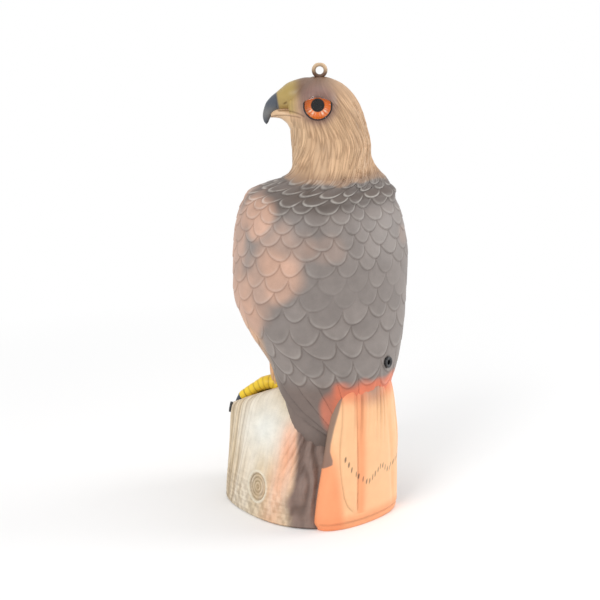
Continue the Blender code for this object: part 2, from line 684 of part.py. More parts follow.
def eye(side, cup_look, iris_look, lens_look):
    """Glazed eye: black cup in the socket, printed iris disc on its floor, clear dome on top."""
    name = "left" if side > 0 else "right"
    out = (0.0, -side, 0.0)
    seat = eye_seat(side)
    outer = EYE_DIAMETER / 2
    inner = outer - EYE_CUP_WALL
    edge = EYE_CUP_WALL / 3
    start = FIT_GAP
    floor = start + EYE_CUP_FLOOR
    rim = start + EYE_CUP_DEPTH
    cup = turned("eye_cup_" + name, ((0.0, start), (outer - edge, start), (outer, start + edge),
                 (outer, rim - edge), (outer - edge, rim), (inner + edge, rim),
                 (inner, rim - edge), (inner, floor), (0.0, floor)), EYE_STEPS, seat, out)
    finish(cup, cup_look)
    radius = inner - FIT_GAP
    low = floor + FIT_GAP
    high = low + IRIS_THICKNESS
    iris = turned("eye_iris_" + name, ((0.0, low), (radius, low), (radius, high), (0.0, high)),
                  EYE_STEPS, seat, out)
    finish(iris, iris_look)
    base = high + FIT_GAP
    shoulder = rim - edge
    profile = [(0.0, base), (radius, base)]
    for turn in np.linspace(0.0, math.pi / 2, LENS_RINGS)[:-1]:
        profile.append((radius * math.cos(turn), shoulder + LENS_RISE * math.sin(turn)))
    profile.append((0.0, shoulder + LENS_RISE))
    lens = turned("eye_lens_" + name, profile, EYE_STEPS, seat, out)
    finish(lens, lens_look)
    return cup, iris, lens


def stump_floor(height):
    """Outline of the pushed-up floor, inside the standing rim."""
    turns = np.arange(STUMP_STEPS) * 2 * math.pi / STUMP_STEPS
    ring = stump_place(1.0 - RIM_WIDTH / STUMP_RADIUS, 0.0, turns)
    ring[:, 2] = height
    return ring


def moulded_shell(surface, plugs):
    """The one-piece blow moulding: joined outer forms less the joined hollow and the holes."""
    shell = loft("moulded_shell", body_rings(BODY_STEPS, BODY_RINGS, 0.0), cutter=False)
    ridge = BEAK_RIDGE_SHARE * CROWN_HEIGHT
    jaw_top = JAW_TOP_SHARE * CROWN_HEIGHT
    outer = [loft("stump_form", stump_rings(STUMP_STEPS, 0.0)),
             loft("tail_form", tail_rings(TAIL_STEPS, 0.0)),
             loft("wing_left_form", wing_rings(1)),
             loft("wing_right_form", wing_rings(-1)),
             loft("beak_form", station_rings(BEAK_STATION_SHARES, BEAK_ROOT_X, ridge,
                                             BEAK_LENGTH, BEAK_DEPTH, BEAK_HALF_WIDTH)),
             loft("jaw_form", station_rings(JAW_STATION_SHARES, JAW_ROOT_X, jaw_top,
                                            JAW_LENGTH, JAW_DEPTH, JAW_HALF_WIDTH)),
             brow(1), brow(-1), *foot_pieces(1), *foot_pieces(-1), hanging_loop()]
    combine(shell, "joined_forms", outer, 'UNION')

    hollow = loft("hollow", body_rings(HOLLOW_STEPS, HOLLOW_RINGS, WALL)[1:-1])
    inside = [loft("stump_hollow", stump_rings(STUMP_HOLLOW_STEPS, WALL)),
              loft("tail_hollow", tail_rings(TAIL_HOLLOW_STEPS, WALL)),
              loft("wing_left_hollow", wing_rings(1, WALL)),
              loft("wing_right_hollow", wing_rings(-1, WALL))]
    combine(hollow, "joined_hollows", inside, 'UNION')
    socket = EYE_DIAMETER / 2 + FIT_GAP
    walls = []
    holes = [loft("floor_recess", [stump_floor(-OVERRUN), stump_floor(FLOOR_RISE)])]
    for side in (1, -1):
        place = eye_seat(side)
        out = (0.0, -side, 0.0)
        reach = EYE_CUP_DEPTH + OVERRUN
        walls.append(rod("socket_wall_%d" % side, socket + WALL, -WALL, reach, place, out))
        holes.append(rod("socket_%d" % side, socket, 0.0, reach, place, out))
    combine(hollow, "socket_walls", walls, 'DIFFERENCE')
    for number, (seat, normal) in enumerate(plugs):
        holes.append(rod("spot_face_%d" % number, PLUG_FLANGE_DIAMETER / 2 + FIT_GAP, 0.0,
                         OVERRUN, seat, normal))
        holes.append(rod("plug_hole_%d" % number, PLUG_HOLE_DIAMETER / 2,
                         -PLUG_BARREL_LENGTH - WALL, OVERRUN / 2, seat, normal))
    combine(shell, "hollowed", [hollow], 'DIFFERENCE')
    combine(shell, "holes", holes, 'DIFFERENCE')
    tidy = shell.modifiers.new("tidy_slivers", 'WELD')
    tidy.merge_threshold = 3 * WELD
    finish(shell, surface)
    return shell


def centre_over_base(pieces):
    """Hang everything on an empty that brings the middle of the pieces' outline over the
    origin."""
    graph = bpy.context.evaluated_depsgraph_get()
    places = []
    for piece in pieces:
        mesh = piece.evaluated_get(graph).to_mesh()
        places += [piece.matrix_world @ vert.co for vert in mesh.vertices]
    places = np.array(places)
    middle = (places.min(axis=0) + places.max(axis=0)) / 2
    base = bpy.data.objects.new("decoy_base", None)
    bpy.context.scene.collection.objects.link(base)
    for thing in bpy.data.objects:
        if thing != base:
            thing.parent = base
    base.location = (-middle[0], -middle[1], 0.0)


def main():
    for thing in list(bpy.data.objects):
        bpy.data.objects.remove(thing)
    plastic = material("painted_polyethylene", (0.42, 0.38, 0.33), 0.55)
    black = material("black_plastic", (0.02, 0.02, 0.02), 0.40)
    iris = material("printed_iris", (0.85, 0.22, 0.04), 0.35)
    clear = material("clear_acrylic", (0.95, 0.95, 0.95), 0.05, alpha=0.25)

    seats = []
    for height, turn, skin in ((BACK_PLUG_Z, BACK_PLUG_TURN, body_at),
                               (STUMP_PLUG_Z, STUMP_PLUG_TURN, stump_side_at)):
        place, normal = skin_frame(height, turn, skin)
        seats.append((Vector(place) - Vector(normal) * PLUG_SEAT_DEPTH, Vector(normal)))
    pieces = [moulded_shell(plastic, seats),
              plug("back_plug", *seats[0], black),
              plug("stump_plug", *seats[1], black)]
    for side in (1, -1):
        pieces += eye(side, black, iris, clear)
    centre_over_base(pieces)


main()
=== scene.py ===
import json
import math

import bpy
import numpy as np
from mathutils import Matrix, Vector


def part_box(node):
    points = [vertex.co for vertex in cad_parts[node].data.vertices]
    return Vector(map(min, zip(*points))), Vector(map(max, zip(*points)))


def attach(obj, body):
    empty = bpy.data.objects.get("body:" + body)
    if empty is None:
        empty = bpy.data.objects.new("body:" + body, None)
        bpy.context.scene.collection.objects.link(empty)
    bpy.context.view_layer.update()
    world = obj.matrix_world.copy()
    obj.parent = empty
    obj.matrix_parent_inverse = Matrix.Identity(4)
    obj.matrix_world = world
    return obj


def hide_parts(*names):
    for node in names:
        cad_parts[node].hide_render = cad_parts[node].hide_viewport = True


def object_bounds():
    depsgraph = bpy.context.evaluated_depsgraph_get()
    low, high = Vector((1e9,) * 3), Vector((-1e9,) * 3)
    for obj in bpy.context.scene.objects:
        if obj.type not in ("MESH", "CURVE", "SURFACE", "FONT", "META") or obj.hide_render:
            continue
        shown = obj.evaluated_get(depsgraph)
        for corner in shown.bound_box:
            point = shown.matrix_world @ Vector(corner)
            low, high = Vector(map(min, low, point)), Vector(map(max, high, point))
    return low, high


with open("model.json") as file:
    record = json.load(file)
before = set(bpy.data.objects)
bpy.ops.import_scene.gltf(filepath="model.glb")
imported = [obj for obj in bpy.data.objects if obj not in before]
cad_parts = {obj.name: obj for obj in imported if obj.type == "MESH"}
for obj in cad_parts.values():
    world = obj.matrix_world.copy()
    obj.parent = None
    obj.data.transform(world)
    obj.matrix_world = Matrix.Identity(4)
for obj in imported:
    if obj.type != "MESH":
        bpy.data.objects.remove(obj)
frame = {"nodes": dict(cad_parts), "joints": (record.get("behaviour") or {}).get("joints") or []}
CAD_LOW, CAD_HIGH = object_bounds()

# The moulding's main sizes, in metres, as the CAD part has them.
CROWN = 0.392
BODY_RADIUS = 0.080
BODY_AXIS = np.array([0.003, -0.0015, 0.0])
WING_PROUD = 0.0035
STUMP_RADIUS = 0.070
STUMP_HEIGHT = 0.104
STUMP_FOOT = np.array([-0.014, 0.0])
STUMP_LEAN = np.array([-0.010, 0.016])
STUMP_TOP_FALL = 0.45
BASE_EDGE = 0.003
RIM_WIDTH = 0.008
FLOOR_RISE = 0.003
TAIL_HEIGHT = 0.135
TAIL_WIDTH = 0.098
TAIL_REACH = 0.0800
TAIL_HALF_THICK = 0.016
TAIL_BULGE = 0.004
TAIL_SHIFT = 0.013
TAIL_VALLEY_DEPTH = 0.0013
TAIL_VALLEY_REACH = 0.0030
EYE_X = 0.0006
EYE_Z = 0.9431 * CROWN
EYE_RADIUS = 0.0128
CUP_WALL = 0.0011
CUP_DEPTH = 0.0100
EYE_PROUD = 0.0017
FIT_GAP = 0.0003
HEAD_HEADING = math.pi
BODY_HEADING = math.radians(135)
FORWARD = np.array([math.cos(BODY_HEADING), math.sin(BODY_HEADING)])
NECK_START = 0.74
NECK_END = 0.88

# Height as a share of the crown height, centre in x and y, then five radii from ahead to
# behind as shares of the body radius.
BODY_LEVELS = np.array((
    (0.150, 0.21, -0.19, 0.52, 0.54, 0.55, 0.55, 0.54),
    (0.200, 0.21, -0.19, 0.50, 0.55, 0.66, 0.60, 0.57),
    (0.250, 0.21, -0.19, 0.56, 0.59, 0.69, 0.60, 0.61),
    (0.300, 0.20, -0.17, 0.63, 0.64, 0.73, 0.66, 0.68),
    (0.350, 0.18, -0.16, 0.70, 0.70, 0.79, 0.75, 0.75),
    (0.400, 0.12, -0.10, 0.80, 0.82, 0.88, 0.86, 0.82),
    (0.450, 0.07, -0.05, 0.88, 0.91, 0.97, 0.94, 0.87),
    (0.500, 0.04, -0.03, 0.96, 0.98, 1.02, 0.98, 0.90),
    (0.550, 0.04, -0.02, 0.99, 0.99, 1.03, 0.99, 0.90),
    (0.600, 0.04, -0.02, 1.00, 0.99, 1.02, 0.99, 0.89),
    (0.650, 0.03, -0.01, 0.97, 0.96, 1.00, 0.96, 0.85),
    (0.690, 0.03, -0.01, 0.91, 0.92, 0.95, 0.91, 0.79),
    (0.720, 0.03, -0.01, 0.84, 0.87, 0.88, 0.85, 0.71),
    (0.740, 0.05, -0.01, 0.77, 0.82, 0.83, 0.83, 0.67),
    (0.755, 0.10, -0.01, 0.65, 0.71, 0.73, 0.72, 0.58),
    (0.770, 0.17, -0.02, 0.53, 0.59, 0.61, 0.61, 0.51),
    (0.790, 0.19, -0.02, 0.47, 0.49, 0.52, 0.51, 0.46),
    (0.820, 0.17, -0.01, 0.45, 0.45, 0.45, 0.45, 0.44),
    (0.850, 0.16, 0.00, 0.45, 0.42, 0.40, 0.42, 0.445),
    (0.880, 0.14, 0.00, 0.44, 0.40, 0.36, 0.39, 0.43),
    (0.910, 0.11, 0.00, 0.42, 0.385, 0.345, 0.38, 0.42),
    (0.940, 0.07, 0.00, 0.40, 0.36, 0.335, 0.36, 0.40),
    (0.965, 0.035, 0.00, 0.35, 0.32, 0.295, 0.32, 0.355),
    (0.985, 0.025, 0.00, 0.25, 0.235, 0.22, 0.235, 0.255),
    (0.997, 0.025, 0.00, 0.125, 0.12, 0.115, 0.12, 0.125),
    (1.000, 0.025, 0.00, 0.06, 0.06, 0.06, 0.06, 0.06),
))
SCALP_ROW = 24.0    # the row from which lengths down the bird are measured
# Height share, then the wing's front and back edge as shares of the half turn.
WING_EDGES = np.array((
    (0.188, 0.77, 0.82), (0.205, 0.70, 0.87), (0.230, 0.60, 0.93), (0.260, 0.49, 0.97),
    (0.300, 0.39, 0.985), (0.350, 0.31, 0.985), (0.400, 0.26, 0.98), (0.460, 0.23, 0.97),
    (0.520, 0.21, 0.95), (0.580, 0.21, 0.91), (0.640, 0.22, 0.83), (0.690, 0.24, 0.73),
    (0.725, 0.28, 0.62), (0.742, 0.36, 0.52),
))
STUMP_FOOT_RADII = (1.00, 1.01, 0.99, 1.22, 1.315)
STUMP_TOP_RADII = (0.82, 0.86, 0.80, 0.76, 0.76)
# Height share and spread of the stump's outline, up its side and in over its top.
STUMP_PROFILE = np.array((
    (0.03, 1.0), (0.14, 1.0), (0.30, 0.99), (0.46, 0.97), (0.62, 0.955), (0.77, 0.945),
    (0.89, 0.935), (0.95, 0.92), (0.98, 0.885), (0.995, 0.83), (1.0, 0.66), (1.0, 0.35),
    (1.0, 0.02),
))
# Height share of the tail, then its reach, width and shift shares.
TAIL_LEVELS = np.array((
    (0.0, 0.985, 0.97, 1.0), (0.02, 0.995, 0.99, 1.0), (0.06, 1.0, 1.0, 1.0),
    (0.20, 0.99, 0.97, 0.8), (0.36, 0.975, 0.92, 0.5), (0.52, 0.955, 0.86, 0.2),
    (0.66, 0.93, 0.79, 0.0), (0.80, 0.91, 0.72, -0.1), (0.90, 0.89, 0.66, -0.1),
    (1.0, 0.86, 0.60, 0.0),
))
# Valleys of the tail: left of the body's axis at the ground and at the top, in tail widths.
TAIL_VALLEYS = ((-0.38, -0.27), (-0.20, -0.13), (0.315, 0.185), (0.42, 0.37))
# Beak and jaw from root to tip: the top's place along and its drop, the underside's place
# along and its drop, and the half width, as shares of length, depth and half width.
BEAK_STATIONS = np.array((
    (-0.25, -0.035, -0.05, 0.72, 1.00), (0.00, -0.035, 0.05, 0.72, 1.00),
    (0.36, 0.068, 0.22, 0.68, 0.88), (0.54, 0.190, 0.38, 0.65, 0.73),
    (0.67, 0.290, 0.54, 0.66, 0.60), (0.76, 0.355, 0.63, 0.69, 0.50),
    (0.84, 0.428, 0.70, 0.72, 0.41), (0.92, 0.525, 0.745, 0.75, 0.32),
    (0.98, 0.69, 0.785, 0.81, 0.235), (0.995, 0.82, 0.82, 0.86, 0.165),
    (0.965, 0.93, 0.85, 0.925, 0.105), (0.91, 0.99, 0.88, 0.97, 0.05),
))
JAW_STATIONS = np.array((
    (0.00, -0.05, -0.05, 1.00, 1.00), (0.30, -0.11, 0.35, 0.80, 0.86),
    (0.52, -0.12, 0.50, 0.50, 0.70), (0.70, -0.11, 0.66, 0.33, 0.54),
    (0.84, -0.07, 0.82, 0.285, 0.38), (0.93, 0.03, 0.93, 0.29, 0.20),
))
BEAK_ROOT, BEAK_SIZE = (-0.012, 0.9936 * CROWN), (0.0362, 0.0402, 0.016)
JAW_ROOT, JAW_SIZE = (-0.010, 0.9247 * CROWN), (0.033, 0.024, 0.015)
THIGH_TOP = 0.160
THIGH_RADIUS = 0.0130
THIGH_LEAN = 0.0054
THIGH_WIDTHS = (0.80, 0.88, 0.91, 0.90, 0.83, 0.71, 0.52, 0.30)
FOOT_FORWARD = 0.030
FOOT_SPREAD = 0.022
FOOT_RISE = 0.009
TOE_LENGTH = 0.036
TOE_RADIUS = 0.0074
TOE_LIFTS = (0.35, 0.93, 1.10, 0.95, 0.64, 0.36)
TOE_WIDTHS = (1.17, 1.00, 0.99, 0.81, 0.78, 0.67)
TOE_TURNS = np.radians((-20, 4, 32, 170))
CLAW_LENGTH = 0.009
# Place along a claw and its drop as shares of its length, half width as a share of a toe's.
CLAWS = np.array(((0.15, 0.01, 0.54), (0.43, 0.11, 0.40), (0.72, 0.31, 0.26), (1.00, 0.60, 0.12)))


def parting_place():
    """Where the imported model's parting plane and skull stand, from the two eye cups."""
    near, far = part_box("eye_cup_left"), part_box("eye_cup_right")
    return np.array([(near[0].x + near[1].x) / 2 - EYE_X, (near[0].y + far[1].y) / 2, 0.0])


SHIFT = parting_place()
EYE_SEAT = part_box("eye_cup_right")[0].y - SHIFT[1] - FIT_GAP
SKULL = EYE_SEAT + CUP_DEPTH - EYE_PROUD
BOX_EASE = 0.0006       # from this far inside the CAD's box, places are eased back
FEATHER_SINK = 0.0004   # the skin under the feathers lies this far inside the CAD's
RELIEF_SINK = 0.0006    # and so do the bark and the fan under their relief


def held_inside(points):
    """Places kept within the CAD's box: what lies past a margin inside a face approaches the
    face along a falling exponential and never reaches it."""
    over = np.clip(points - (np.array(CAD_HIGH) - BOX_EASE), 0, None)
    under = np.clip(np.array(CAD_LOW) + BOX_EASE - points, 0, None)
    under[..., 2] = 0
    eased = np.exp(-under / BOX_EASE) - np.exp(-over / BOX_EASE)
    return points - over + under + BOX_EASE * eased


def tint(red, green, blue):
    """A paint as the eye reads it, 0 to 255, turned into linear light."""
    value = np.array([red, green, blue]) / 255
    return np.where(value < 0.04045, value / 12.92, ((value + 0.055) / 1.055) ** 2.4)


GREY = tint(140, 131, 126)
SLATE_GREY_AND_SHADE = tint(83, 71, 64)
TAUPE = tint(120, 105, 98)
TAN = tint(213, 176, 139)
SAND = tint(220, 190, 154)
NAPE_SHADE_BROWN = tint(134, 107, 91)
CROWN_BROWN = tint(105, 78, 62)
MAUVE = tint(134, 104, 97)
OLIVE = tint(170, 146, 84)
BEAK_SLATE = tint(74, 80, 90)
PEACH = tint(216, 172, 148)
APRICOT = tint(230, 178, 130)
TAIL_PEACH = tint(252, 199, 150)
TAIL_ORANGE = tint(252, 158, 108)
EMBER = tint(236, 128, 92)
IVORY = tint(238, 226, 206)
HIGHLIGHT_WHITE = tint(234, 234, 226)
BARK_TAN = tint(222, 202, 170)
BARK_BROWN = tint(146, 120, 88)
COLUMN_BROWN_AND_SHADE = tint(130, 108, 100)
CREAM = tint(236, 228, 208)
TOE_YELLOW = tint(246, 212, 62)
TOE_BROWN = tint(120, 90, 30)
INK = tint(88, 70, 60)


# Curves and wandering that every piece uses.


def ease(value):
    """Smooth step from 0 to 1: three squares less two cubes, held at both ends."""
    value = np.clip(value, 0.0, 1.0)
    return value * value * (3.0 - 2.0 * value)


def ramp(value, start, width):
    """Smooth step that starts at a value and is whole a width further on; a negative width
    runs it the other way."""
    return ease((value - start) / width)


def bell(value, middle, width, power=2):
    """Bell curve: 1 at its middle and e to the minus 1 a width away."""
    return np.exp(-((value - middle) / width) ** power)


def line_glow(distance, width):
    """Closeness: 1 at no distance, falling straight to 0 a width away."""
    return np.clip(1 - distance / width, 0, 1)


def full_turn(columns):
    """Evenly spaced turns once round."""
    return np.arange(columns) * 2 * math.pi / columns


def unit(vectors):
    """Vectors along the last axis, each brought to length 1."""
    return vectors / np.maximum(np.linalg.norm(vectors, axis=-1, keepdims=True), 1e-12)


def through_rows(rows, at):
    """Smooth curve through evenly spaced table rows, read at row numbers: a cubic between
    each two rows, whose slope at a row is half the step between its neighbours."""
    rows = np.asarray(rows, dtype=float)
    at = np.clip(np.atleast_1d(at), 0.0, len(rows) - 1.0)
    first = np.minimum(at.astype(int), len(rows) - 2)
    share = (at - first)[:, None]
    before, start, end = rows[np.maximum(first - 1, 0)], rows[first], rows[first + 1]
    after = rows[np.minimum(first + 2, len(rows) - 1)]
    leave, arrive = (end - before) / 2, (after - start) / 2
    bend = 3 * (end - start) - 2 * leave - arrive
    return start + share * (leave + share * (bend + share * (leave + arrive - 2 * (end - start))))


def outline_radius(five, turn):
    """Radius at each turn from straight ahead: a cosine series through five radii."""
    five = np.asarray(five, dtype=float)
    ends = np.array([0.5, 1.0, 1.0, 1.0, 0.5])
    quarter = np.arange(5) * math.pi / 4
    radius = 0.0
    for order in range(5):
        weight = ends[order] / 2 * np.sum(five * ends * np.cos(order * quarter), axis=-1)
        radius = radius + weight * np.cos(order * turn)
    return radius


def arc_along(table, radius_columns, radius, height):
    """Fine row numbers of a table and the arc length at each along its mean profile."""
    fine = np.linspace(0.0, len(table) - 1.0, 2400)
    rows = through_rows(table, fine)
    out, up = rows[:, radius_columns].mean(axis=1) * radius, rows[:, 0] * height
    return fine, np.concatenate([[0.0], np.cumsum(np.hypot(np.diff(out), np.diff(up)))])


def drift(points, size, seed):
    """Soft wandering from -1 to 1 over places: a sum of sine waves of about one length,
    each with its own direction and start."""
    draw = np.random.default_rng(seed)
    total = 0.0
    for _ in range(7):
        way = draw.normal(size=3)
        way *= 2 * math.pi / (size * np.linalg.norm(way) * draw.uniform(0.7, 1.5))
        total = total + np.sin(points @ way + draw.uniform(0, 2 * math.pi))
    return total / 4.0


def grid_normals(grid):
    """Outward normals of rings that run anticlockwise from low to high: the cross product
    of the step round and the step up."""
    aside = np.roll(grid, -1, axis=1) - np.roll(grid, 1, axis=1)
    return unit(np.cross(aside, np.gradient(grid, axis=0)))


def outward(grid):
    """Unit vectors from each ring's middle to its points."""
    return unit(grid - grid.mean(axis=1, keepdims=True))


def body_places(points):
    """Ahead and left of the body's axis: x and y turned by the body's heading."""
    away = points - SHIFT - BODY_AXIS
    return (away[..., 0] * FORWARD[0] + away[..., 1] * FORWARD[1],
            away[..., 1] * FORWARD[0] - away[..., 0] * FORWARD[1])


def world_places(ahead, left, up):
    """The reverse of body_places, with a height."""
    made = np.empty(np.shape(ahead) + (3,))
    made[..., 0] = ahead * FORWARD[0] - left * FORWARD[1] + SHIFT[0] + BODY_AXIS[0]
    made[..., 1] = ahead * FORWARD[1] + left * FORWARD[0] + SHIFT[1] + BODY_AXIS[1]
    made[..., 2] = up
    return made


def painted(base, *passes):
    """A base colour with passes of paint over it, each an amount for every point, 0 to 1,
    and the colour it mixes in."""
    paint = np.asarray(base)
    for amount, colour in passes:
        paint = paint + (colour - paint) * np.clip(amount, 0, 1)[..., None]
    return paint


# Meshes.


def point_rows(values, shape, ring):
    """Values spread over a grid's shape, one row a point, then the mean of the first and of
    the last ring, for the two poles of an open tube."""
    full = np.broadcast_to(values, shape)
    flat = full.reshape(shape[0] * shape[1], -1)
    poles = np.stack([full[0].mean(axis=0), full[-1].mean(axis=0)]).reshape(2, -1)
    return flat if ring else np.concatenate([flat, poles])


def build_mesh(name, grids, layers, smooth_angle=60.0, ring=False):
    """One object of tubes, each a grid of rings joined round and up, with a fan at either
    end, or with its last ring joined to its first. layers holds, for each attribute, one
    array a grid; "paint" is a colour, the others are numbers."""
    points, faces, base = [], [], 0
    for grid in grids:
        rows, columns = grid.shape[:2]
        index = base + np.arange(rows * columns).reshape(rows, columns)
        lower = np.concatenate([index, index[:1]]) if ring else index
        after = np.roll(lower, -1, axis=1)
        quads = np.stack([lower[:-1], after[:-1], after[1:], lower[1:]], axis=-1)
        faces += quads.reshape(-1, 4).tolist()
        points.append(point_rows(grid, grid.shape, ring))
        base += rows * columns
        if not ring:
            low, high = np.full(columns, base), np.full(columns, base + 1)
            faces += np.stack([after[0], index[0], low], axis=-1).tolist()
            faces += np.stack([index[-1], after[-1], high], axis=-1).tolist()
            base += 2
    mesh = bpy.data.meshes.new(name)
    mesh.from_pydata(held_inside(np.concatenate(points)).tolist(), [], faces)
    for key, arrays in layers.items():
        colour = key == "paint"
        flat = np.concatenate([point_rows(array, grid.shape if colour else grid.shape[:2], ring)
                               for array, grid in zip(arrays, grids)])
        if colour:
            flat = np.concatenate([np.clip(flat, 0, 1), np.ones((len(flat), 1))], axis=1)
        made = mesh.attributes.new(key, 'FLOAT_COLOR' if colour else 'FLOAT', 'POINT')
        made.data.foreach_set("color" if colour else "value", flat.astype(np.float32).ravel())
    mesh.shade_smooth()
    if not ring:
        mesh.set_sharp_from_angle(angle=math.radians(smooth_angle))
    thing = bpy.data.objects.new(name, mesh)
    bpy.context.scene.collection.objects.link(thing)
    return thing


def place_piece(thing, look, body, node):
    """Give a piece its look and its body, and hide the node it stands for."""
    thing.data.materials.append(look)
    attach(thing, body)
    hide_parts(node)


def shell_piece(name, look, grids, paint, crease=0.0, rub=0.0, ring=False):
    """A painted piece of the moulding, of one grid or of several with a layer for each."""
    if not isinstance(grids, list):
        grids, paint, crease, rub = [grids], [paint], [crease], [rub]
    layers = {"paint": paint, "crease": crease, "rub": rub}
    piece = build_mesh(name, grids, layers, ring=ring)
    place_piece(piece, look, "decoy", "moulded_shell")


# Looks.

# Painted shade: the crease layer darkens the paint in grooves, gaps and recesses.
CREASE_SHADE_TONE = (0.34, 0.27, 0.23)    # paint is multiplied by this in the deepest crease
RUBBED_AND_HIGHLIGHT_TONE = (0.80, 0.76, 0.70)    # and mixed half with this on raised edges: rubbed-thin paint and painted highlight


def feed(tree, node, inputs):
    """Fill a node's inputs by label or number: sockets are linked, the rest is set."""
    for label, value in inputs.items():
        socket = node.inputs[label]
        if isinstance(value, bpy.types.NodeSocket):
            tree.links.new(value, socket)
        else:
            socket.default_value = (*value, 1.0) if socket.type == 'RGBA' else value


def add(tree, kind, inputs=None, **settings):
    """Node of a kind with its settings and inputs."""
    node = tree.nodes.new(kind)
    for key, value in settings.items():
        setattr(node, key, value)
    feed(tree, node, inputs or {})
    return node


def object_places(tree):
    """Object coordinates."""
    return add(tree, "ShaderNodeTexCoord").outputs["Object"]


def noise(tree, vector, scale, detail=3.0):
    """Fractal noise over places, about 1 over its scale in metres from lump to lump."""
    return add(tree, "ShaderNodeTexNoise", {"Vector": vector, "Scale": scale, "Detail": detail,
                                            "Roughness": 0.55}).outputs["Fac"]


def mapped(tree, value, low, high, to_low, to_high):
    """Value carried from one range to another and held there."""
    return add(tree, "ShaderNodeMapRange", {"Value": value, "From Min": low, "From Max": high,
                                            "To Min": to_low, "To Max": to_high}).outputs["Result"]


def maths(tree, operation, first, second):
    """Arithmetic on two sockets or numbers."""
    return add(tree, "ShaderNodeMath", {0: first, 1: second}, operation=operation).outputs["Value"]


def mixed(tree, factor, first, second, blend='MIX'):
    """Two colours mixed by a factor."""
    node = add(tree, "ShaderNodeMix", data_type='RGBA', blend_type=blend)
    feed(tree, node, {0: factor, 6: first, 7: second})
    return node.outputs[2]


def read_layer(tree, key, output="Fac"):
    """A piece's own attribute."""
    return add(tree, "ShaderNodeAttribute", attribute_name=key).outputs[output]


def airbrush_group():
    """Sprayed paint on a blow moulding: mist of two grains, painted shade that darkens the
    creases, raised edges paled as rubbed-thin paint and as painted highlight, with the
    moulding's own fine pebbling as height."""
    tree = bpy.data.node_groups.new("airbrushed_paint_and_shade", 'ShaderNodeTree')
    for label, value in (("Paint", None), ("Crease", 0.0), ("Rub And Highlight", 0.0), ("Mist", 0.12),
                         ("Crease Shade Depth", 0.6), ("Gloss", 0.5)):
        kind = 'NodeSocketColor' if value is None else 'NodeSocketFloat'
        socket = tree.interface.new_socket(label, in_out='INPUT', socket_type=kind)
        if value is not None:
            socket.default_value = value
    for label, kind in (("Color", 'NodeSocketColor'), ("Roughness", 'NodeSocketFloat'),
                        ("Height", 'NodeSocketFloat')):
        tree.interface.new_socket(label, in_out='OUTPUT', socket_type=kind)
    inner = add(tree, "NodeGroupInput").outputs
    where = object_places(tree)
    fine, cloud = noise(tree, where, 1500.0, 2.0), noise(tree, where, 95.0, 4.0)
    grain = mapped(tree, fine, 0.3, 0.7, -1.0, 1.0)
    puff = mapped(tree, cloud, 0.3, 0.7, -1.0, 1.0)
    sway = maths(tree, 'ADD', maths(tree, 'MULTIPLY', grain, 0.45), puff)
    shade = maths(tree, 'ADD', 1.0, maths(tree, 'MULTIPLY', sway, inner["Mist"]))
    toned = add(tree, "ShaderNodeVectorMath", {0: inner["Paint"], "Scale": shade},
                operation='SCALE').outputs["Vector"]
    # painted shade in the creases
    crease = maths(tree, 'MULTIPLY', inner["Crease"], inner["Crease Shade Depth"])
    dark = mixed(tree, 1.0, toned, CREASE_SHADE_TONE, 'MULTIPLY')
    creased = mixed(tree, crease, toned, dark)
    thin = mapped(tree, cloud, 0.35, 0.6, 0.35, 1.0)
    # paler raised edges: rubbed-thin paint and painted highlight
    rubbed = maths(tree, 'MULTIPLY', inner["Rub And Highlight"], thin)
    pale = mixed(tree, 0.55, creased, RUBBED_AND_HIGHLIGHT_TONE)
    lumps = maths(tree, 'MULTIPLY', noise(tree, where, 420.0, 2.0), 1.5)
    add(tree, "NodeGroupOutput", {
        "Color": mixed(tree, rubbed, creased, pale),
        "Roughness": maths(tree, 'ADD', inner["Gloss"], maths(tree, 'MULTIPLY', puff, 0.05)),
        "Height": maths(tree, 'ADD', fine, lumps)})
    return tree


def principled(name):
    """New material, its tree and its surface shader."""
    look = bpy.data.materials.new(name)
    look.use_nodes = True
    return look, look.node_tree, look.node_tree.nodes["Principled BSDF"]


def relief(tree, height, strength, distance):
    """Normals of a height, by a bump."""
    return add(tree, "ShaderNodeBump", {"Height": height, "Strength": strength,
                                        "Distance": distance}).outputs["Normal"]


def painted_look(name, group, mist=0.10, crease_shade_depth=0.6, gloss=0.5, bump=0.00005):
    """Material that reads a piece's sprayed colour, its painted crease shade, and its raised
    edges paled as rubbed paint and painted highlight.
    """
    look, tree, surface = principled(name)
    spray = add(tree, "ShaderNodeGroup", node_tree=group)
    feed(tree, spray, {"Paint": read_layer(tree, "paint", "Color"),
                       "Crease": read_layer(tree, "crease"), "Rub And Highlight": read_layer(tree, "rub"),
                       "Mist": mist, "Crease Shade Depth": crease_shade_depth, "Gloss": gloss})
    feed(tree, surface, {"Base Color": spray.outputs["Color"],
                         "Roughness": spray.outputs["Roughness"],
                         "Normal": relief(tree, spray.outputs["Height"], 0.6, bump),
                         "Specular IOR Level": 0.35})
    return look


def black_plastic_look(name, colour, roughness):
    """Dark moulded plastic with a fine satin grain."""
    look, tree, surface = principled(name)
    grain = noise(tree, object_places(tree), 900.0)
    feed(tree, surface, {
        "Base Color": mixed(tree, grain, colour, [c * 1.8 for c in colour]),
        "Roughness": mapped(tree, grain, 0.3, 0.7, roughness - 0.06, roughness + 0.08),
        "Normal": relief(tree, grain, 0.4, 0.00003)})
    return look


def clear_dome_look():
    """Clear acrylic dome, very slightly uneven."""
    look, tree, surface = principled("clear_dome_acrylic")
    ripple = noise(tree, object_places(tree), 60.0, 1.0)
    feed(tree, surface, {"Roughness": mapped(tree, ripple, 0.3, 0.7, 0.0, 0.02),
                         "Base Color": (1.0, 1.0, 1.0), "Transmission Weight": 1.0, "IOR": 1.30})
    return look


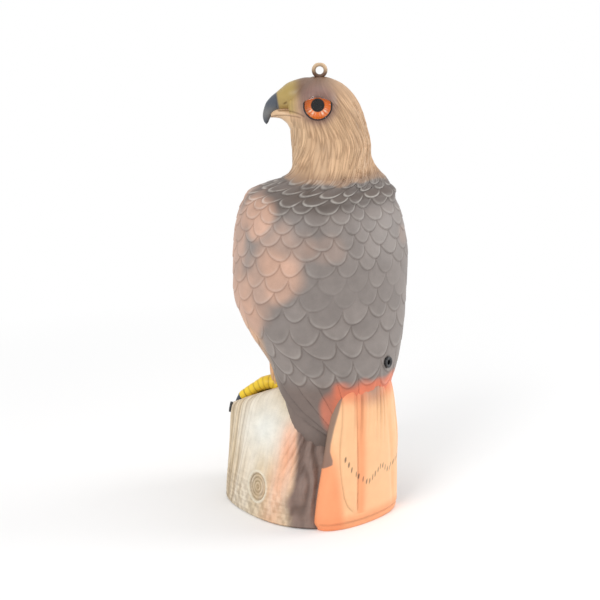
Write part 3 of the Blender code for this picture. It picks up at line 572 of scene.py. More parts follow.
def iris_look():
    """Printed orange iris: black pupil, pale spokes low in it that are painted highlights, a
    darker rim.
    """
    look, tree, surface = principled("printed_iris_disc")
    out = read_layer(tree, "out")
    fleck = noise(tree, object_places(tree), 700.0)
    orange = mixed(tree, fleck, tint(246, 96, 10), tint(255, 140, 34))
    # pale spokes: painted highlights
    spoke_highlights = maths(tree, 'MULTIPLY', read_layer(tree, "spoke_highlight"),
                   mapped(tree, fleck, 0.4, 0.6, 0.4, 1.0))
    pale = mixed(tree, spoke_highlights, orange, tint(255, 240, 214))
    rim = mixed(tree, mapped(tree, out, 0.84, 0.95, 0.0, 1.0), pale, tint(74, 20, 10))
    pupil = mapped(tree, out, 0.46, 0.49, 1.0, 0.0)
    feed(tree, surface, {"Base Color": mixed(tree, pupil, rim, (0.001, 0.001, 0.001)),
                         "Roughness": mapped(tree, fleck, 0.3, 0.7, 0.45, 0.6),
                         "Specular IOR Level": 0.05})
    return look


# Bird: one skin for body, neck and head, with its feathers laid on in rows.

COLUMNS = 560
BODY_STEP = 0.00098
NECK_STEP = 0.00077
SEAM_DOWN = 0.1225      # arc length from the crown at which head and body pieces meet
WING_TIP = 0.188        # height share at which the folded wing ends
CAP_RINGS = 14          # of the cap on the crown, with the skin's last ring
CAP_SMALLEST = 0.06     # the last of them, as a share of the first
CAP_RISE = 0.0002


def bird_rings():
    """Rings of the bird from the ground up: even arc steps, fine on neck and head. Gives the
    row numbers, the arc length down from the crown and the row at which the head starts."""
    fine, length = arc_along(BODY_LEVELS, slice(3, 8), BODY_RADIUS, CROWN)
    scalp = np.interp(SCALP_ROW, fine, length)
    seam = scalp - SEAM_DOWN
    low = np.linspace(0.0, seam, int(round(seam / BODY_STEP)) + 1)
    high = np.linspace(seam, length[-1], int(round(SEAM_DOWN / NECK_STEP)) + 1)[1:]
    reach = np.concatenate([low, high])
    return np.interp(reach, length, fine), scalp - reach, len(low) - 1


def bird_skin(levels, turns):
    """Grid of places on the outer skin, with each ring's mean radius and height share: at
    each level a five-radius outline, turned from the body's heading to the head's through
    the neck."""
    rows = through_rows(BODY_LEVELS, levels)
    turned = ease((rows[:, 0] - NECK_START) / (NECK_END - NECK_START))
    heading = (BODY_HEADING + turned * (HEAD_HEADING - BODY_HEADING))[:, None]
    radius = BODY_RADIUS * outline_radius(rows[:, None, 3:8], turns[None, :])
    grid = np.empty((len(levels), len(turns), 3))
    grid[..., 0] = rows[:, 1, None] * BODY_RADIUS + radius * np.cos(heading + turns)
    grid[..., 1] = rows[:, 2, None] * BODY_RADIUS + radius * np.sin(heading + turns)
    grid[..., 2] = rows[:, 0, None] * CROWN
    return grid + SHIFT, rows[:, 3:8].mean(axis=1) * BODY_RADIUS, rows[:, 0]


def lay_over(skin, part, cover, **layers):
    """Cover a part of the skin: each layer is mixed towards its new values by the cover."""
    for key, value in layers.items():
        skin[key][part] = skin[key][part] * (1 - cover) + value * cover


def lay_row(skin, across, tip, length, count, lift, base=0.0, offset=0.0, blunt=0.5,
            power=2.0, jitter=0.10, edge=0.0011, gap=0.0013, groove=0.00035, where=1.0,
            seed=1):
    """Lay one row of feathers over what lies below. A feather is a tongue: straight sides
    from its root, then a rounded end, |aside|^p + |past the straight part|^p = 1. Its face
    rises from root to tip, its rim falls to the feathers below and is paled as rubbed-thin
    paint and painted highlight, and a groove of one gap and a soft shade of three and a half
    gaps run round it, painted dark in the crease layer as shade. where limits the row, by
    point."""
    draw = np.random.default_rng(seed)
    slide = draw.uniform(-1, 1, count) * jitter * length
    shade = draw.uniform(0, 1, count)
    down, shape = skin["down"], skin["rise"].shape
    near = np.flatnonzero((down > tip - length * 1.2) & (down < tip + length * 0.3))
    part = slice(near[0], near[-1] + 1)
    spot = across[part] * count / (2 * math.pi) + offset
    number = np.floor(spot).astype(int) % count
    aside = 2 * (spot - np.floor(spot)) - 1
    along = (down[part][:, None] - tip - slide[number]) / length + 1
    half = skin["radius"][part][:, None] * math.pi / count
    past = np.clip((along - blunt) / (1 - blunt), 0, None)
    inward = (1 - (np.abs(aside) ** power + past ** power) ** (1 / power)) * half
    strength = skin["amount"][part]
    here = np.broadcast_to(where, shape)[part]
    cover = ease(inward / edge + 0.5) * ease(along / 0.2) * here
    face = np.broadcast_to(base, shape)[part] + lift * strength * (along - 0.62 - 0.25 * aside ** 2)
    outside, round_it = np.minimum(inward, 0), (along > 0.35) * here * (inward < edge)
    beside = line_glow(-outside, gap) * round_it
    shadow = line_glow(-outside, 3.5 * gap) ** 2 * round_it
    # painted shade: the groove and the soft shade round the feather darken the crease layer
    dark = (beside ** 2 + 0.22 * shadow) * strength * ease(along / 0.6)
    skin["rise"][part] -= groove * strength * beside * (1 - skin["crease"][part])
    skin["crease"][part] = np.maximum(skin["crease"][part], np.clip(dark, 0, 0.78))
    # the feather's pale rim: rubbed-thin paint and painted highlight
    rim = bell(inward, 0.0008, 0.0009) * ramp(along, 0.5, 0.4) * strength
    lay_over(skin, part, cover, rise=face, crease=0.0, rub=rim, tone=shade[number])


# Height share of the tips, feathers round the body, length in metres and lift in metres.
COVERT_ROWS = (
    (0.350, 17, 0.040, 0.0012), (0.392, 18, 0.038, 0.0012), (0.433, 19, 0.036, 0.0012),
    (0.474, 20, 0.034, 0.0012), (0.512, 21, 0.032, 0.0011), (0.548, 21, 0.031, 0.0011),
    (0.583, 21, 0.030, 0.0011), (0.615, 21, 0.029, 0.0011), (0.645, 21, 0.027, 0.0011),
    (0.672, 21, 0.025, 0.0011), (0.697, 20, 0.023, 0.0012), (0.718, 19, 0.021, 0.0012),
    (0.736, 18, 0.021, 0.0012), (0.752, 17, 0.020, 0.0012), (0.766, 16, 0.020, 0.0012),
)
HACKLE_TIPS = np.arange(0.024, 0.101, 0.0085)
FLIGHT_FEATHERS = 6     # that show on each folded wing's lower part


def lay_flight_feathers(skin, side):
    """The long flight feathers of one folded wing: they run with the wing's own width, from
    its front edge to its back. Each face tilts a little and ends in a cut line whose depth
    is the square, and whose painted shade the cube, of the closeness to the border."""
    share, tall = skin["share"], skin["tall"]
    front, back = (np.interp(tall[:, 0], WING_EDGES[:, 0], edge)[:, None]
                   for edge in WING_EDGES.T[1:])
    wide = np.maximum(back - front, 0.02)
    width = (share - front) / wide
    on_side = (skin["signed"] * side > 0) & (width > 0) & (width < 1) & (tall > WING_TIP)
    spot = np.clip(width, 0, 0.999) * FLIGHT_FEATHERS
    number = np.floor(spot).astype(int)
    aside = 2 * (spot - number) - 1
    metres = wide * math.pi * skin["radius"][:, None] / FLIGHT_FEATHERS / 2
    outer = np.minimum(np.minimum(width, 1 - width) * metres * 2 * FLIGHT_FEATHERS,
                       (tall - WING_TIP) * CROWN)
    cover = on_side * (tall < 0.42) * ease(outer / 0.0012)
    line = line_glow((1 - np.abs(aside)) * metres, 0.0010)
    # the cut line's darkness is painted shade in its groove
    lay_over(skin, slice(None), cover, rise=0.0006 * (aside * -0.5) - 0.0005 * line ** 2,
             crease=0.9 * line ** 3, rub=0.0, tone=(number * 0.37) % 1.0)


def press_in(grid, centre, out, radius, depth):
    """Sink a round socket into a grid: points within the radius of an axis go down to the
    depth, and those beside its edge are moved onto it, so that its wall stands straight."""
    edge_reach, edge_gap = 0.00045, 0.00003
    out = np.asarray(out, dtype=float)
    offset = grid - centre
    along = offset @ out
    flat = offset - along[..., None] * out
    away = np.linalg.norm(flat, axis=-1)
    side = along > -2 * radius
    inside = side & (away < radius)
    rim = side & (np.abs(away - radius) < edge_reach)
    new_away = np.where(rim, radius + np.where(inside, -edge_gap, edge_gap), away)
    flat = flat * (new_away / np.maximum(away, 1e-9))[..., None]
    moved = centre + flat + np.where(inside, depth, along)[..., None] * out
    return np.where((inside | rim)[..., None], moved, grid)


BROW_HALF = 0.0158      # half the brow's length
BROW_LIP = 0.0043       # how far it stands out from the skull's side over the eye
BROW_LOW = 0.0070       # its lower edge above the eye's middle
BROW_DROOP = 0.0064     # how much lower that edge is at its ends
BROW_FALL = 30.0        # per metre: how fast its face falls back just above the edge
BROW_BEND = 4500.0      # per square metre: how much faster it falls back higher up
BROW_BLEND = 0.0007     # over which brow and lid run into the skull


def brow_edge(ahead):
    """Height of the brow's lower edge above the eye's middle: a parabola along the head."""
    return BROW_LOW - BROW_DROOP * (ahead / BROW_HALF) ** 2


def head_shaping(grid):
    """Brow and lids, pushed out sideways from the parting plane: a sloping collar round the
    eye, and a hood whose lip is half an ellipse along the head and whose face falls back
    with the square and cube of the height over its edge. Each is blended with the skull by
    a soft maximum. Gives the grid, the distance from the eye and where the hood is."""
    sideways = grid[..., 1] - SHIFT[1]
    raised = np.abs(sideways)
    ahead = grid[..., 0] - SHIFT[0] - EYE_X
    up = grid[..., 2] - EYE_Z
    away = np.hypot(ahead, up)
    slope = 1 + 1.5 * ease(up / 0.012)
    lid = SKULL + EYE_PROUD - 0.0004 - slope * np.clip(away - EYE_RADIUS, 0, None)
    share = ahead / BROW_HALF
    over = up - brow_edge(ahead)
    lip = BROW_LIP * np.sqrt(np.clip(1 - share ** 2, 0, None)) - 0.0030 * share ** 4
    above = np.clip(over, 0, None)
    hood = SKULL + lip - BROW_FALL * above ** 2 - BROW_BEND * above ** 3
    hood = np.where((over > -0.0006) & (np.abs(share) < 1.05), hood, -1.0)
    near = (away < 0.030) & (raised > 0.006)
    for form in (lid, hood):
        eased = BROW_BLEND * np.logaddexp(raised / BROW_BLEND, np.maximum(form, -0.05) / BROW_BLEND)
        raised = np.where(near, eased, raised)
    shaped = grid.copy()
    shaped[..., 1] = SHIFT[1] + np.sign(sideways) * raised
    on_edge = (np.abs(over) < 0.0004) & (away < EYE_RADIUS)
    edge = EYE_Z + brow_edge(ahead) + np.where(over > 0, 0.00004, -0.00004)
    shaped[..., 2] = np.where(on_edge, edge, shaped[..., 2])
    return shaped, away, over > 0


def near_line(points, line, width):
    """Closeness, 1 on it to 0 a width away, to a line of points in the XZ plane."""
    flat = points[..., [0, 2]]
    best = np.full(points.shape[:-1], 1e9)
    for start, end in zip(np.array(line), np.array(line)[1:]):
        step = end - start
        share = np.clip(((flat - start) @ step) / (step @ step), 0, 1)
        best = np.minimum(best, np.linalg.norm(flat - start - share[..., None] * step, axis=-1))
    return line_glow(best, width)


# The mouth's upper and lower line in x and z.
MOUTH_UPPER = ((-0.0330, 0.3628), (-0.0264, 0.3632), (-0.0203, 0.3630), (-0.0143, 0.3617),
               (-0.0107, 0.3598))
MOUTH_LOWER = ((-0.0390, 0.3568), (-0.0345, 0.3583), (-0.0264, 0.3590), (-0.0183, 0.3590),
               (-0.0137, 0.3584))
# Nostril and cere's edge likewise.
NOSTRIL = ((-0.0278, 0.3690), (-0.0262, 0.3702))
CERE_EDGE = ((-0.0355, 0.3770), (-0.0345, 0.3630))
MOUTH_DEPTH, NOSTRIL_DEPTH, CERE_DEPTH = 0.0005, 0.0009, 0.0003


def mouth_lines(points):
    """Closeness to either line of the mouth."""
    return np.maximum(near_line(points, MOUTH_UPPER, 0.0011),
                      near_line(points, MOUTH_LOWER, 0.0009))


def lay_feathers(skin, grid):
    """All rows in their order, from the lowest tips up: breast, flight feathers, the wing's
    last long row, coverts and hackles. The rows lean with the body and their borders wander."""
    signed, share, tall, down = (skin[key] for key in ("signed", "share", "tall", "down"))
    below_wrist = ramp(tall, NECK_START, -0.06)
    wing_front = np.interp(tall[:, 0], WING_EDGES[:, 0], WING_EDGES[:, 1])
    wing = ease((share - wing_front[:, None]) * 60 + 0.5)
    back = wing * ramp(tall, 0.305, 0.01)
    skin["rise"] -= WING_PROUD * below_wrist
    skin["rise"] -= 0.0012 * ramp(share, 0.62, 0.1) * ramp(tall, 0.325, -0.02)
    skin["amount"] = 1 - 0.82 * bell(share, 0.83, 0.16, 4) * bell(tall, 0.545, 0.045, 4)
    lean = np.interp(down, (0.12, 0.16, 0.25, 0.32, 0.37), (0.0, -0.03, -0.22, -0.12, 0.05))
    across = signed - lean[:, None] * np.sin(signed) + 0.045 * drift(grid, 0.05, 5) + math.pi

    def down_at(level):
        """Arc length down from the crown at a height share."""
        return float(np.interp(level, tall[:, 0], down))

    for number, (tip, count, length, lift) in enumerate(COVERT_ROWS):
        lay_row(skin, across, down_at(tip), length, count + 4, lift * 0.7, seed=200 + number,
                base=-WING_PROUD * below_wrist, offset=0.5 * (number % 2), where=1 - wing)
    for side in (1, -1):
        lay_flight_feathers(skin, side)
    lay_row(skin, across, down_at(0.318), 0.060, 19, 0.0014, blunt=0.7, jitter=0.05,
            where=wing * (share > 0.42), seed=31)
    for number, (tip, count, length, lift) in enumerate(COVERT_ROWS):
        lay_row(skin, across, down_at(tip), length, count, lift, offset=0.5 * (number % 2),
                where=back, seed=100 + number)
    hole = np.clip(-0.0006 - skin["rise"], 0, None) * back
    skin["rise"] += hole
    skin["crease"] *= 1 - 0.6 * np.clip(hole / 0.0004, 0, 1)

    sweep = np.interp(down, (0.010, 0.095, 0.12), (0.0, 1.25, 1.35))[:, None]
    strand = signed - sweep * np.sin(signed) * (1 - np.cos(signed)) / 2 + math.pi
    strand = strand + 0.012 * drift(grid, 0.03, 60)
    face = ramp(np.abs(signed), 1.30, -0.4) * ramp(down, 0.050, -0.012)[:, None]
    skin["amount"] = (1 - face) * ramp(down, 0.012, 0.02)[:, None]
    for number, tip in enumerate(HACKLE_TIPS[::-1]):
        lay_row(skin, strand, tip, 0.034, 72, 0.0009, offset=0.5 * (number % 2), blunt=0.30,
                power=1.4, jitter=0.50, edge=0.0006, gap=0.0007, groove=0.00034,
                seed=300 + number)


def bird():
    """The dressed skin of body, neck and head, its layers, and the row at which the head
    starts: the CAD skin moved along its normals by the rise of the laid feathers, then
    brows, mouth and eye sockets shaped in."""
    levels, down, seam = bird_rings()
    turns = full_turn(COLUMNS)
    grid, radius, height = bird_skin(levels, turns)
    signed = np.where(turns > math.pi, turns - 2 * math.pi, turns)[None, :]
    blank = np.zeros(grid.shape[:2])
    skin = {"down": down, "radius": radius, "signed": signed, "share": np.abs(signed) / math.pi,
            "tall": height[:, None], "rise": blank.copy(), "crease": blank.copy(),
            "rub": blank.copy(), "tone": blank + 0.5, "eye": blank + 1.0}
    lay_feathers(skin, grid)
    grid = grid + grid_normals(grid) * (skin["rise"] - FEATHER_SINK)[..., None]

    head = slice(seam, None)
    shaped, skin["eye"][head], hooded = head_shaping(grid[head])
    mouth = mouth_lines(shaped) * (shaped[..., 0] < SHIFT[0] - 0.008)
    shaped = shaped - grid_normals(shaped) * (MOUTH_DEPTH * mouth)[..., None]
    # painted shade in the mouth's groove
    skin["crease"][head] = np.maximum(skin["crease"][head], mouth)
    for side in (-1, 1):
        centre = SHIFT + np.array([EYE_X, side * EYE_SEAT, EYE_Z])
        facing = (shaped[..., 1] - SHIFT[1]) * side > 0
        pressed = press_in(shaped, centre, (0.0, side, 0.0), EYE_RADIUS - 0.0005, -0.0005)
        shaped = np.where((facing & ~hooded)[..., None], pressed, shaped)
    return np.concatenate([grid[:seam], shaped]), skin, seam


# Sprayed patches on the near wing: place, reach, colour, strength and a seed for the edge.
WING_SPRAYS = (
    ((-0.052, -0.045, 0.278), (0.028, 0.050, 0.024), PEACH, 0.72, 41),
    ((-0.030, -0.066, 0.250), (0.030, 0.030, 0.034), PEACH, 0.36, 42),
    ((-0.031, -0.064, 0.228), (0.024, 0.034, 0.030), PEACH, 0.68, 43),
    ((-0.054, -0.062, 0.210), (0.022, 0.040, 0.040), PEACH, 0.45, 44),
    ((-0.066, -0.030, 0.185), (0.026, 0.050, 0.060), PEACH, 0.75, 45),
    ((-0.060, -0.020, 0.150), (0.026, 0.046, 0.040), APRICOT, 0.55, 46),
    ((0.010, -0.070, 0.252), (0.020, 0.030, 0.016), PEACH, 0.15, 47),
    ((0.012, -0.060, 0.102), (0.011, 0.016, 0.022), EMBER, 0.55, 48),
    ((-0.070, -0.018, 0.248), (0.022, 0.050, 0.036), PEACH, 0.55, 49),
)


def sprayed_wing(paint, points, reach_share, mask):
    """The airbrush's passes on one wing: soft-edged ellipsoids of colour, whole inside 0.45
    of their reach, gone outside it, with a wandering edge."""
    for centre, size, colour, strength, seed in WING_SPRAYS:
        away = np.linalg.norm((points - np.array(centre)) / (np.array(size) * reach_share), axis=-1)
        amount = 1 - ramp(away + 0.18 * drift(points, 0.03, seed), 0.45, 0.55)
        paint = painted(paint, (strength * amount * mask, colour))
    return paint


def face_paint(points, paint):
    """Brown crown and olive forehead, shared by the head and the root of the beak."""
    ahead, tall = SHIFT[0] - points[..., 0], points[..., 2] / CROWN
    front = 0.3 + 0.7 * ramp(ahead, -0.026, 0.027)
    return painted(paint, (0.95 * front * ramp(tall, 0.940, 0.035), CROWN_BROWN),
                   (0.9 * ramp(ahead, 0.0125, 0.012) * ramp(tall, 0.917, 0.010), OLIVE))


def bird_paint(grid, skin):
    """Airbrushed zones: grey back, darker mantle that is also painted shadow under the
    hackles' fringe, tan head with a painted shade of brown at the hackles' lower edge, brown
    crown and mauve round the eye, peach patches on the wings, orange where the tail starts."""
    share, tall, signed = skin["share"], skin["tall"], skin["signed"]
    neck = ramp(tall + 0.006 * drift(grid, 0.02, 8), 0.772, 0.012)
    breast = ramp(share, 0.37, -0.12) * ramp(tall, 0.76, -0.03)
    # slate band on the mantle: darker paint and painted shadow under the hackles
    paint = painted(np.broadcast_to(GREY, grid.shape),
                    (0.85 * bell(tall, 0.750, 0.037), SLATE_GREY_AND_SHADE),
                    (0.9 * ramp(tall, 0.35, -0.05) * ramp(share, 0.40, 0.05), TAUPE),
                    (0.85 * breast, PEACH), (breast * ramp(tall, 0.40, -0.1), APRICOT))
    paint = sprayed_wing(paint, grid, 1.0, signed >= 0)
    ahead, left = body_places(grid)
    paint = sprayed_wing(paint, world_places(ahead, -left, grid[..., 2]), 0.7, signed < 0)
    orange = ramp(tall - 0.01 * drift(grid, 0.02, 4), 0.345, -0.03) * ramp(share, 0.72, 0.05)
    throat = ramp(np.abs(signed), 1.1, -0.5) * ramp(tall, 0.915, -0.02)
    # the last pass, nape brown at the hackles' lower edge, is painted shade
    paint = painted(paint, (0.85 * orange, EMBER), (neck, TAN), (0.5 * neck * throat, SAND),
                    (neck * 0.75 * ramp(tall, 0.805, -0.03), NAPE_SHADE_BROWN))
    around = bell(np.clip(skin["eye"] - 0.0125, 0, None), 0.0, 0.0055) * (tall > 0.8)
    paint = painted(face_paint(grid, paint), (0.8 * around, MAUVE))
    return paint * (0.89 + 0.20 * skin["tone"][..., None])


def make_bird(look):
    """Paint and mesh of the bird in three pieces, closed over the crown by rings that shrink
    to its middle and rise by the square of the way in."""
    grid, skin, seam = bird()
    paint = bird_paint(grid, skin)
    # pale feather rims, strongest on the collar: rubbed-thin paint and painted highlight
    rub = skin["rub"] * (0.25 + 0.75 * bell(skin["tall"], 0.745, 0.03)) * (skin["tall"] < 0.785)
    grid = sink_plug_seat(grid, "back_plug")
    crown, middle = grid[-1], grid[-1].mean(axis=0)
    part = np.linspace(1.0, CAP_SMALLEST, CAP_RINGS)[1:, None, None]
    caps = middle + (crown - middle) * part
    caps[..., 2] = crown[:, 2] + CAP_RISE * (1 - part[..., 0] ** 2)
    layers = [np.concatenate([grid, caps])]
    for layer in (paint, skin["crease"], rub):
        layers.append(np.concatenate([layer, np.repeat(layer[-1:], len(caps), axis=0)]))
    half = COLUMNS // 2
    closing = np.arange(half, COLUMNS + 1) % COLUMNS
    for name, rows, columns in (("head_and_neck", slice(seam, None), np.arange(COLUMNS)),
                                ("body_left_half", slice(0, seam + 1), np.arange(half + 1)),
                                ("body_right_half", slice(0, seam + 1), closing)):
        shell_piece(name, look, *(layer[rows][:, columns] for layer in layers))


PLUG_STANDS = 0.0027    # from a plug's outer end back to its spot face
# Radius of the spot face and of the hole, and how far out from the spot face each lies.
PLUG_SEATS = ((0.0053, 0.0), (0.0040, -0.0095))


def plug_frame(name):
    """A plug's foot, outward axis and length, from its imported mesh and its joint."""
    mesh = frame["nodes"][name].data
    flat = np.empty(len(mesh.vertices) * 3)
    mesh.vertices.foreach_get("co", flat)
    points = flat.reshape(-1, 3)
    joint = next(j for j in frame["joints"] if j["name"] == name + "_pull")
    axis = unit(np.array(joint["axis"], dtype=float))
    along = points @ axis
    middle = points.mean(axis=0)
    return middle + axis * (along.min() - middle @ axis), axis, along.max() - along.min()


def sink_plug_seat(grid, name):
    """Spot face and hole of a plug, sunk into a grid of skin."""
    foot, axis, total = plug_frame(name)
    seat = foot + axis * (total - PLUG_STANDS)
    facing = ((grid - seat) @ axis > -0.012)[..., None]
    for radius, depth in PLUG_SEATS:
        grid = np.where(facing, press_in(grid, seat, axis, radius, depth), grid)
    return grid


# Stump.

STUMP_STEP = 0.0010
STUMP_COLUMNS = 520
TOP_RINGS = 26      # of the stump's top, over which the relief fades inwards
# Metres round the stump in which each sine of the bark turns by one radian.
GRAIN_WAVE, COARSE_WAVE, FOLD_WAVE, ROPE_WAVE = 0.00072, 0.0021, 0.0011, 0.0024
KNOT = np.array([-0.0538, -0.0466, 0.0276])
KNOT_TILT = 0.42
KNOT_LONG, KNOT_SHORT = 0.0138, 0.0114      # half axes
KNOT_ACROSS = np.array([0.76, -0.65, 0.0])  # along the bark at the knot
KNOT_OUT = np.array([-0.65, -0.76, 0.0])    # square to it
KNOT_REACH = 0.03                           # along which the knot is looked for


def stump_place(spread, share, turn):
    """Place on or in the stump: spread of its outline, share of its height, turn from ahead."""
    foot = outline_radius(STUMP_FOOT_RADII, turn)
    radius = STUMP_RADIUS * spread * (foot + (outline_radius(STUMP_TOP_RADII, turn) - foot) * share)
    height = share * (STUMP_HEIGHT - STUMP_TOP_FALL * radius * np.cos(turn))
    return np.stack([STUMP_FOOT[0] + STUMP_LEAN[0] * share + radius * np.cos(BODY_HEADING + turn),
                     STUMP_FOOT[1] + STUMP_LEAN[1] * share + radius * np.sin(BODY_HEADING + turn),
                     height], axis=-1) + SHIFT


def stump_rings():
    """Rings of the stump: the pushed-up floor and standing rim, a quarter circle round the
    base edge, then side and top at even steps of arc length."""
    turns = full_turn(STUMP_COLUMNS)[None, :]
    fine, length = arc_along(STUMP_PROFILE, slice(1, 2), STUMP_RADIUS, STUMP_HEIGHT)
    even = np.linspace(0.0, length[-1], int(round(length[-1] / STUMP_STEP)) + 1)
    rows = through_rows(STUMP_PROFILE, np.interp(even, length, fine))
    rim = 1 - RIM_WIDTH / STUMP_RADIUS
    low = [(spread, FLOOR_RISE) for spread in (0.03, 0.4, 0.8, rim)] + [(rim, 0.0)]
    low += [(1 - BASE_EDGE * (1 - math.sin(angle)) / STUMP_RADIUS,
             BASE_EDGE * (1 - math.cos(angle))) for angle in np.radians([0, 18, 36, 54, 72])]
    spread, lift = np.array(low).T[..., None]
    foot = stump_place(spread, 0.0, turns)
    foot[..., 2] = lift
    return np.concatenate([foot, stump_place(rows[:, 1, None], rows[:, 0, None], turns)])


def make_stump(look):
    """Bark as height over the smooth stump: grain is the cube of a wandering sine round it,
    with coarser waves whose troughs are painted darker as shade and whose crests are paled
    as rubbed paint and painted highlight; a smoother patch painted near white as a highlight;
    the product of two driftings as speckle; sheared sine folds towards the tail; broad sine
    ropes in the column under the wing's tip, painted dark brown as bark and as painted shade
    between stump and tail; and a knot of cosine rings in an elliptic border. Paint follows
    the same fields, and the grooves are darkened in the crease layer as painted shade."""
    grid = stump_rings()
    ahead, left = body_places(grid)
    turn, tall = np.arctan2(left, ahead), grid[..., 2]
    arc = turn * STUMP_RADIUS
    on_side = ramp(tall, 0.002, 0.006)
    on_side[-TOP_RINGS:] *= np.linspace(1, 0, TOP_RINGS)[:, None] * 0.6 + 0.4

    away = grid - KNOT
    across, up = away @ KNOT_ACROSS, away[..., 2]
    long_way = up * math.cos(KNOT_TILT) - across * math.sin(KNOT_TILT)
    short_way = up * math.sin(KNOT_TILT) + across * math.cos(KNOT_TILT)
    ring_out = np.where(np.abs(away @ KNOT_OUT) < KNOT_REACH,
                        np.hypot(long_way / KNOT_LONG, short_way / KNOT_SHORT), 9.0)
    knot = ramp(ring_out, 1.15, -0.15)

    def tall_drift(upright, size, seed):
        """Drift drawn out upwards: heights count for a share of their length."""
        return drift(grid * np.array([1, 1, upright]), size, seed)

    wave = tall_drift(0.25, 0.03, 11)
    bark = ramp(turn, 1.35, -0.35) + ramp(turn, -2.2, -0.3)
    streaks = np.sin(arc / GRAIN_WAVE + 3.2 * wave + 2.0 * tall_drift(0.3, 0.012, 12))
    grain = -np.clip(streaks, 0, 1) ** 3
    coarse = np.sin(arc / COARSE_WAVE + 2.0 * wave)
    # a smoother patch, painted near white as a highlight where the bark faces up
    highlight_patch = bell(turn, 1.42, 0.36) * bell(tall, 0.079, 0.024)
    speckle = drift(grid, 0.0042, 13) * drift(grid, 0.0027, 14)
    low_zone = ramp(tall, 0.045, -0.03)
    folds = bell(turn, 2.0, 0.16) * bell(tall, 0.060, 0.022)
    fold_line = np.sin((arc - 0.55 * (tall - 0.06)) / FOLD_WAVE + 1.2 * wave)
    # the column under the wing's tip, between stump and tail: dark bark paint and painted shade
    edge = 0.045 * tall_drift(0.6, 0.025, 15) - 0.10 * bell(tall, 0.021, 0.011)
    column = ease((turn - 1.94 - edge - 0.055 * ramp(tall, 0.055, -0.045)) / 0.10) * (turn > 0)
    column = column + ease((-turn - 1.9 - edge) / 0.10) * (turn < 0)
    rope = np.sin(arc / ROPE_WAVE + 2.6 * tall_drift(0.35, 0.02, 16))

    rise = 0.0008 * grain * np.clip(bark, 0.25, 1) * (1 - 0.8 * highlight_patch) * (1 - 0.7 * low_zone)
    rise = rise + 0.0005 * coarse * np.clip(bark, 0.15, 1) * (1 - highlight_patch)
    rise = rise + 0.00025 * speckle * (0.25 + low_zone) * (1 - column)
    rise = rise + 0.0009 * fold_line * folds
    rise = rise + column * (0.0011 * rope + 0.0005 * drift(grid, 0.008, 17))
    rings = 0.0006 * np.cos(ring_out * 2 * math.pi * 4.2) - 0.0007
    border = bell(ring_out, 1.0, 0.10)
    rise = rise * (1 - knot) + (rings * (ring_out < 0.9) + 0.0012 * border) * knot
    grid = grid + grid_normals(grid) * ((rise - RELIEF_SINK) * on_side)[..., None]

    mottle = ease(0.5 + drift(grid, 0.005, 18)) * (0.15 + low_zone)
    blush = 0.80 * bell(turn, 1.90, 0.17) * bell(tall, 0.064, 0.030)
    blush = blush + 0.35 * bell(turn, 1.80, 0.16) * ramp(tall, 0.060, -0.03)
    blush = blush + 0.5 * bell(turn, -1.75, 0.20)
    paint = painted(
        np.broadcast_to(BARK_TAN, grid.shape), (0.75 * ease(0.5 + 0.9 * wave), IVORY),
        (0.35 * mottle, BARK_BROWN),
        # brown in the coarse waves' troughs: painted shade
        (0.45 * np.clip(-coarse, 0, 1) * np.clip(bark, 0.1, 1) * (1 - highlight_patch), BARK_BROWN),
        # near-white patch: painted highlight
        (0.95 * highlight_patch, HIGHLIGHT_WHITE), (0.8 * blush * ramp(tall, 0.100, -0.02), TAIL_ORANGE),
        # column brown: dark bark paint and painted shade between stump and tail
        (0.95 * column, COLUMN_BROWN_AND_SHADE), (0.9 * border * knot, CREAM),
        (0.75 * knot * (ring_out < 0.9) * (0.5 - 0.5 * np.cos(ring_out * 26.4)), BARK_BROWN))
    # painted shade in the grain's grooves and the folds, and dark speckle low down
    crease = np.clip(-grain * np.clip(bark, 0.2, 1) * (1 - highlight_patch) * 0.9, 0, 1) * (1 - knot)
    crease = crease + 0.6 * np.clip(-fold_line, 0, 1) ** 2 * folds
    # painted shade in the ropes' grooves
    crease = np.maximum(crease, column * np.clip(-rope, 0, 1) ** 2 * 0.8)
    crease = crease + 0.35 * np.clip(speckle, 0, 1) * low_zone * (1 - column)
    # paler crests of the coarse waves: rubbed paint and painted highlight
    rub = np.clip(coarse, 0, 1) * 0.3 * (1 - column) * on_side
    shell_piece("tree_stump", look, sink_plug_seat(grid, "stump_plug"), paint, crease, rub)


# Tail.

# Where the wing tip's grey ends on the fan's left edge: height, then x in the photo's plane.
WING_SHADE = np.array((
    (0.046, -0.0100), (0.0535, 0.0060), (0.0585, 0.0145), (0.0620, 0.0148), (0.0690, 0.0124),
    (0.0752, 0.0129), (0.0889, 0.0160), (0.1025, 0.0198), (0.1195, 0.0240),
))
# The narrow feather's left border: height, then left of the body's axis.
NARROW_EDGE = np.array((
    (0.0145, 0.0350), (0.020, 0.0390), (0.0285, 0.0420), (0.042, 0.0430), (0.055, 0.0424),
    (0.066, 0.0404), (0.078, 0.0375), (0.092, 0.0343), (0.112, 0.0310),
))
# Lines of the dark band, left of the body's axis and up, each with its count of strokes.
TAIL_BAND = (
    (((0.0383, 0.0650), (0.0328, 0.0510)), 3), (((0.0312, 0.0500), (0.0173, 0.0385)), 4),
    (((0.0173, 0.0385), (-0.0006, 0.0510)), 5), (((-0.0006, 0.0510), (-0.0110, 0.0430)), 3),
    (((-0.0110, 0.0430), (-0.0300, 0.0520)), 5),
)
STROKE_HALF = (0.00062, 0.0026)     # half width and half height of a stroke
STROKE_SLANT = 0.22
TAIL_COLUMNS, TAIL_ROWS = 420, 190
TAIL_SQUARING = (0.85, 0.75)        # powers of cosine and sine that square the oval
# Metres across the fan in which the pleats' cosine turns by one radian: middle and left.
PLEAT_WAVE, LEFT_PLEAT_WAVE = 0.00105, 0.00155
GROUND_STEP = 0.0058                # height of the line over the step near the ground


def valley_line(valley, height):
    """A valley's place left of the body's axis: straight from its foot to its top."""
    foot, top = valley
    return TAIL_WIDTH * (foot + (top - foot) * height)


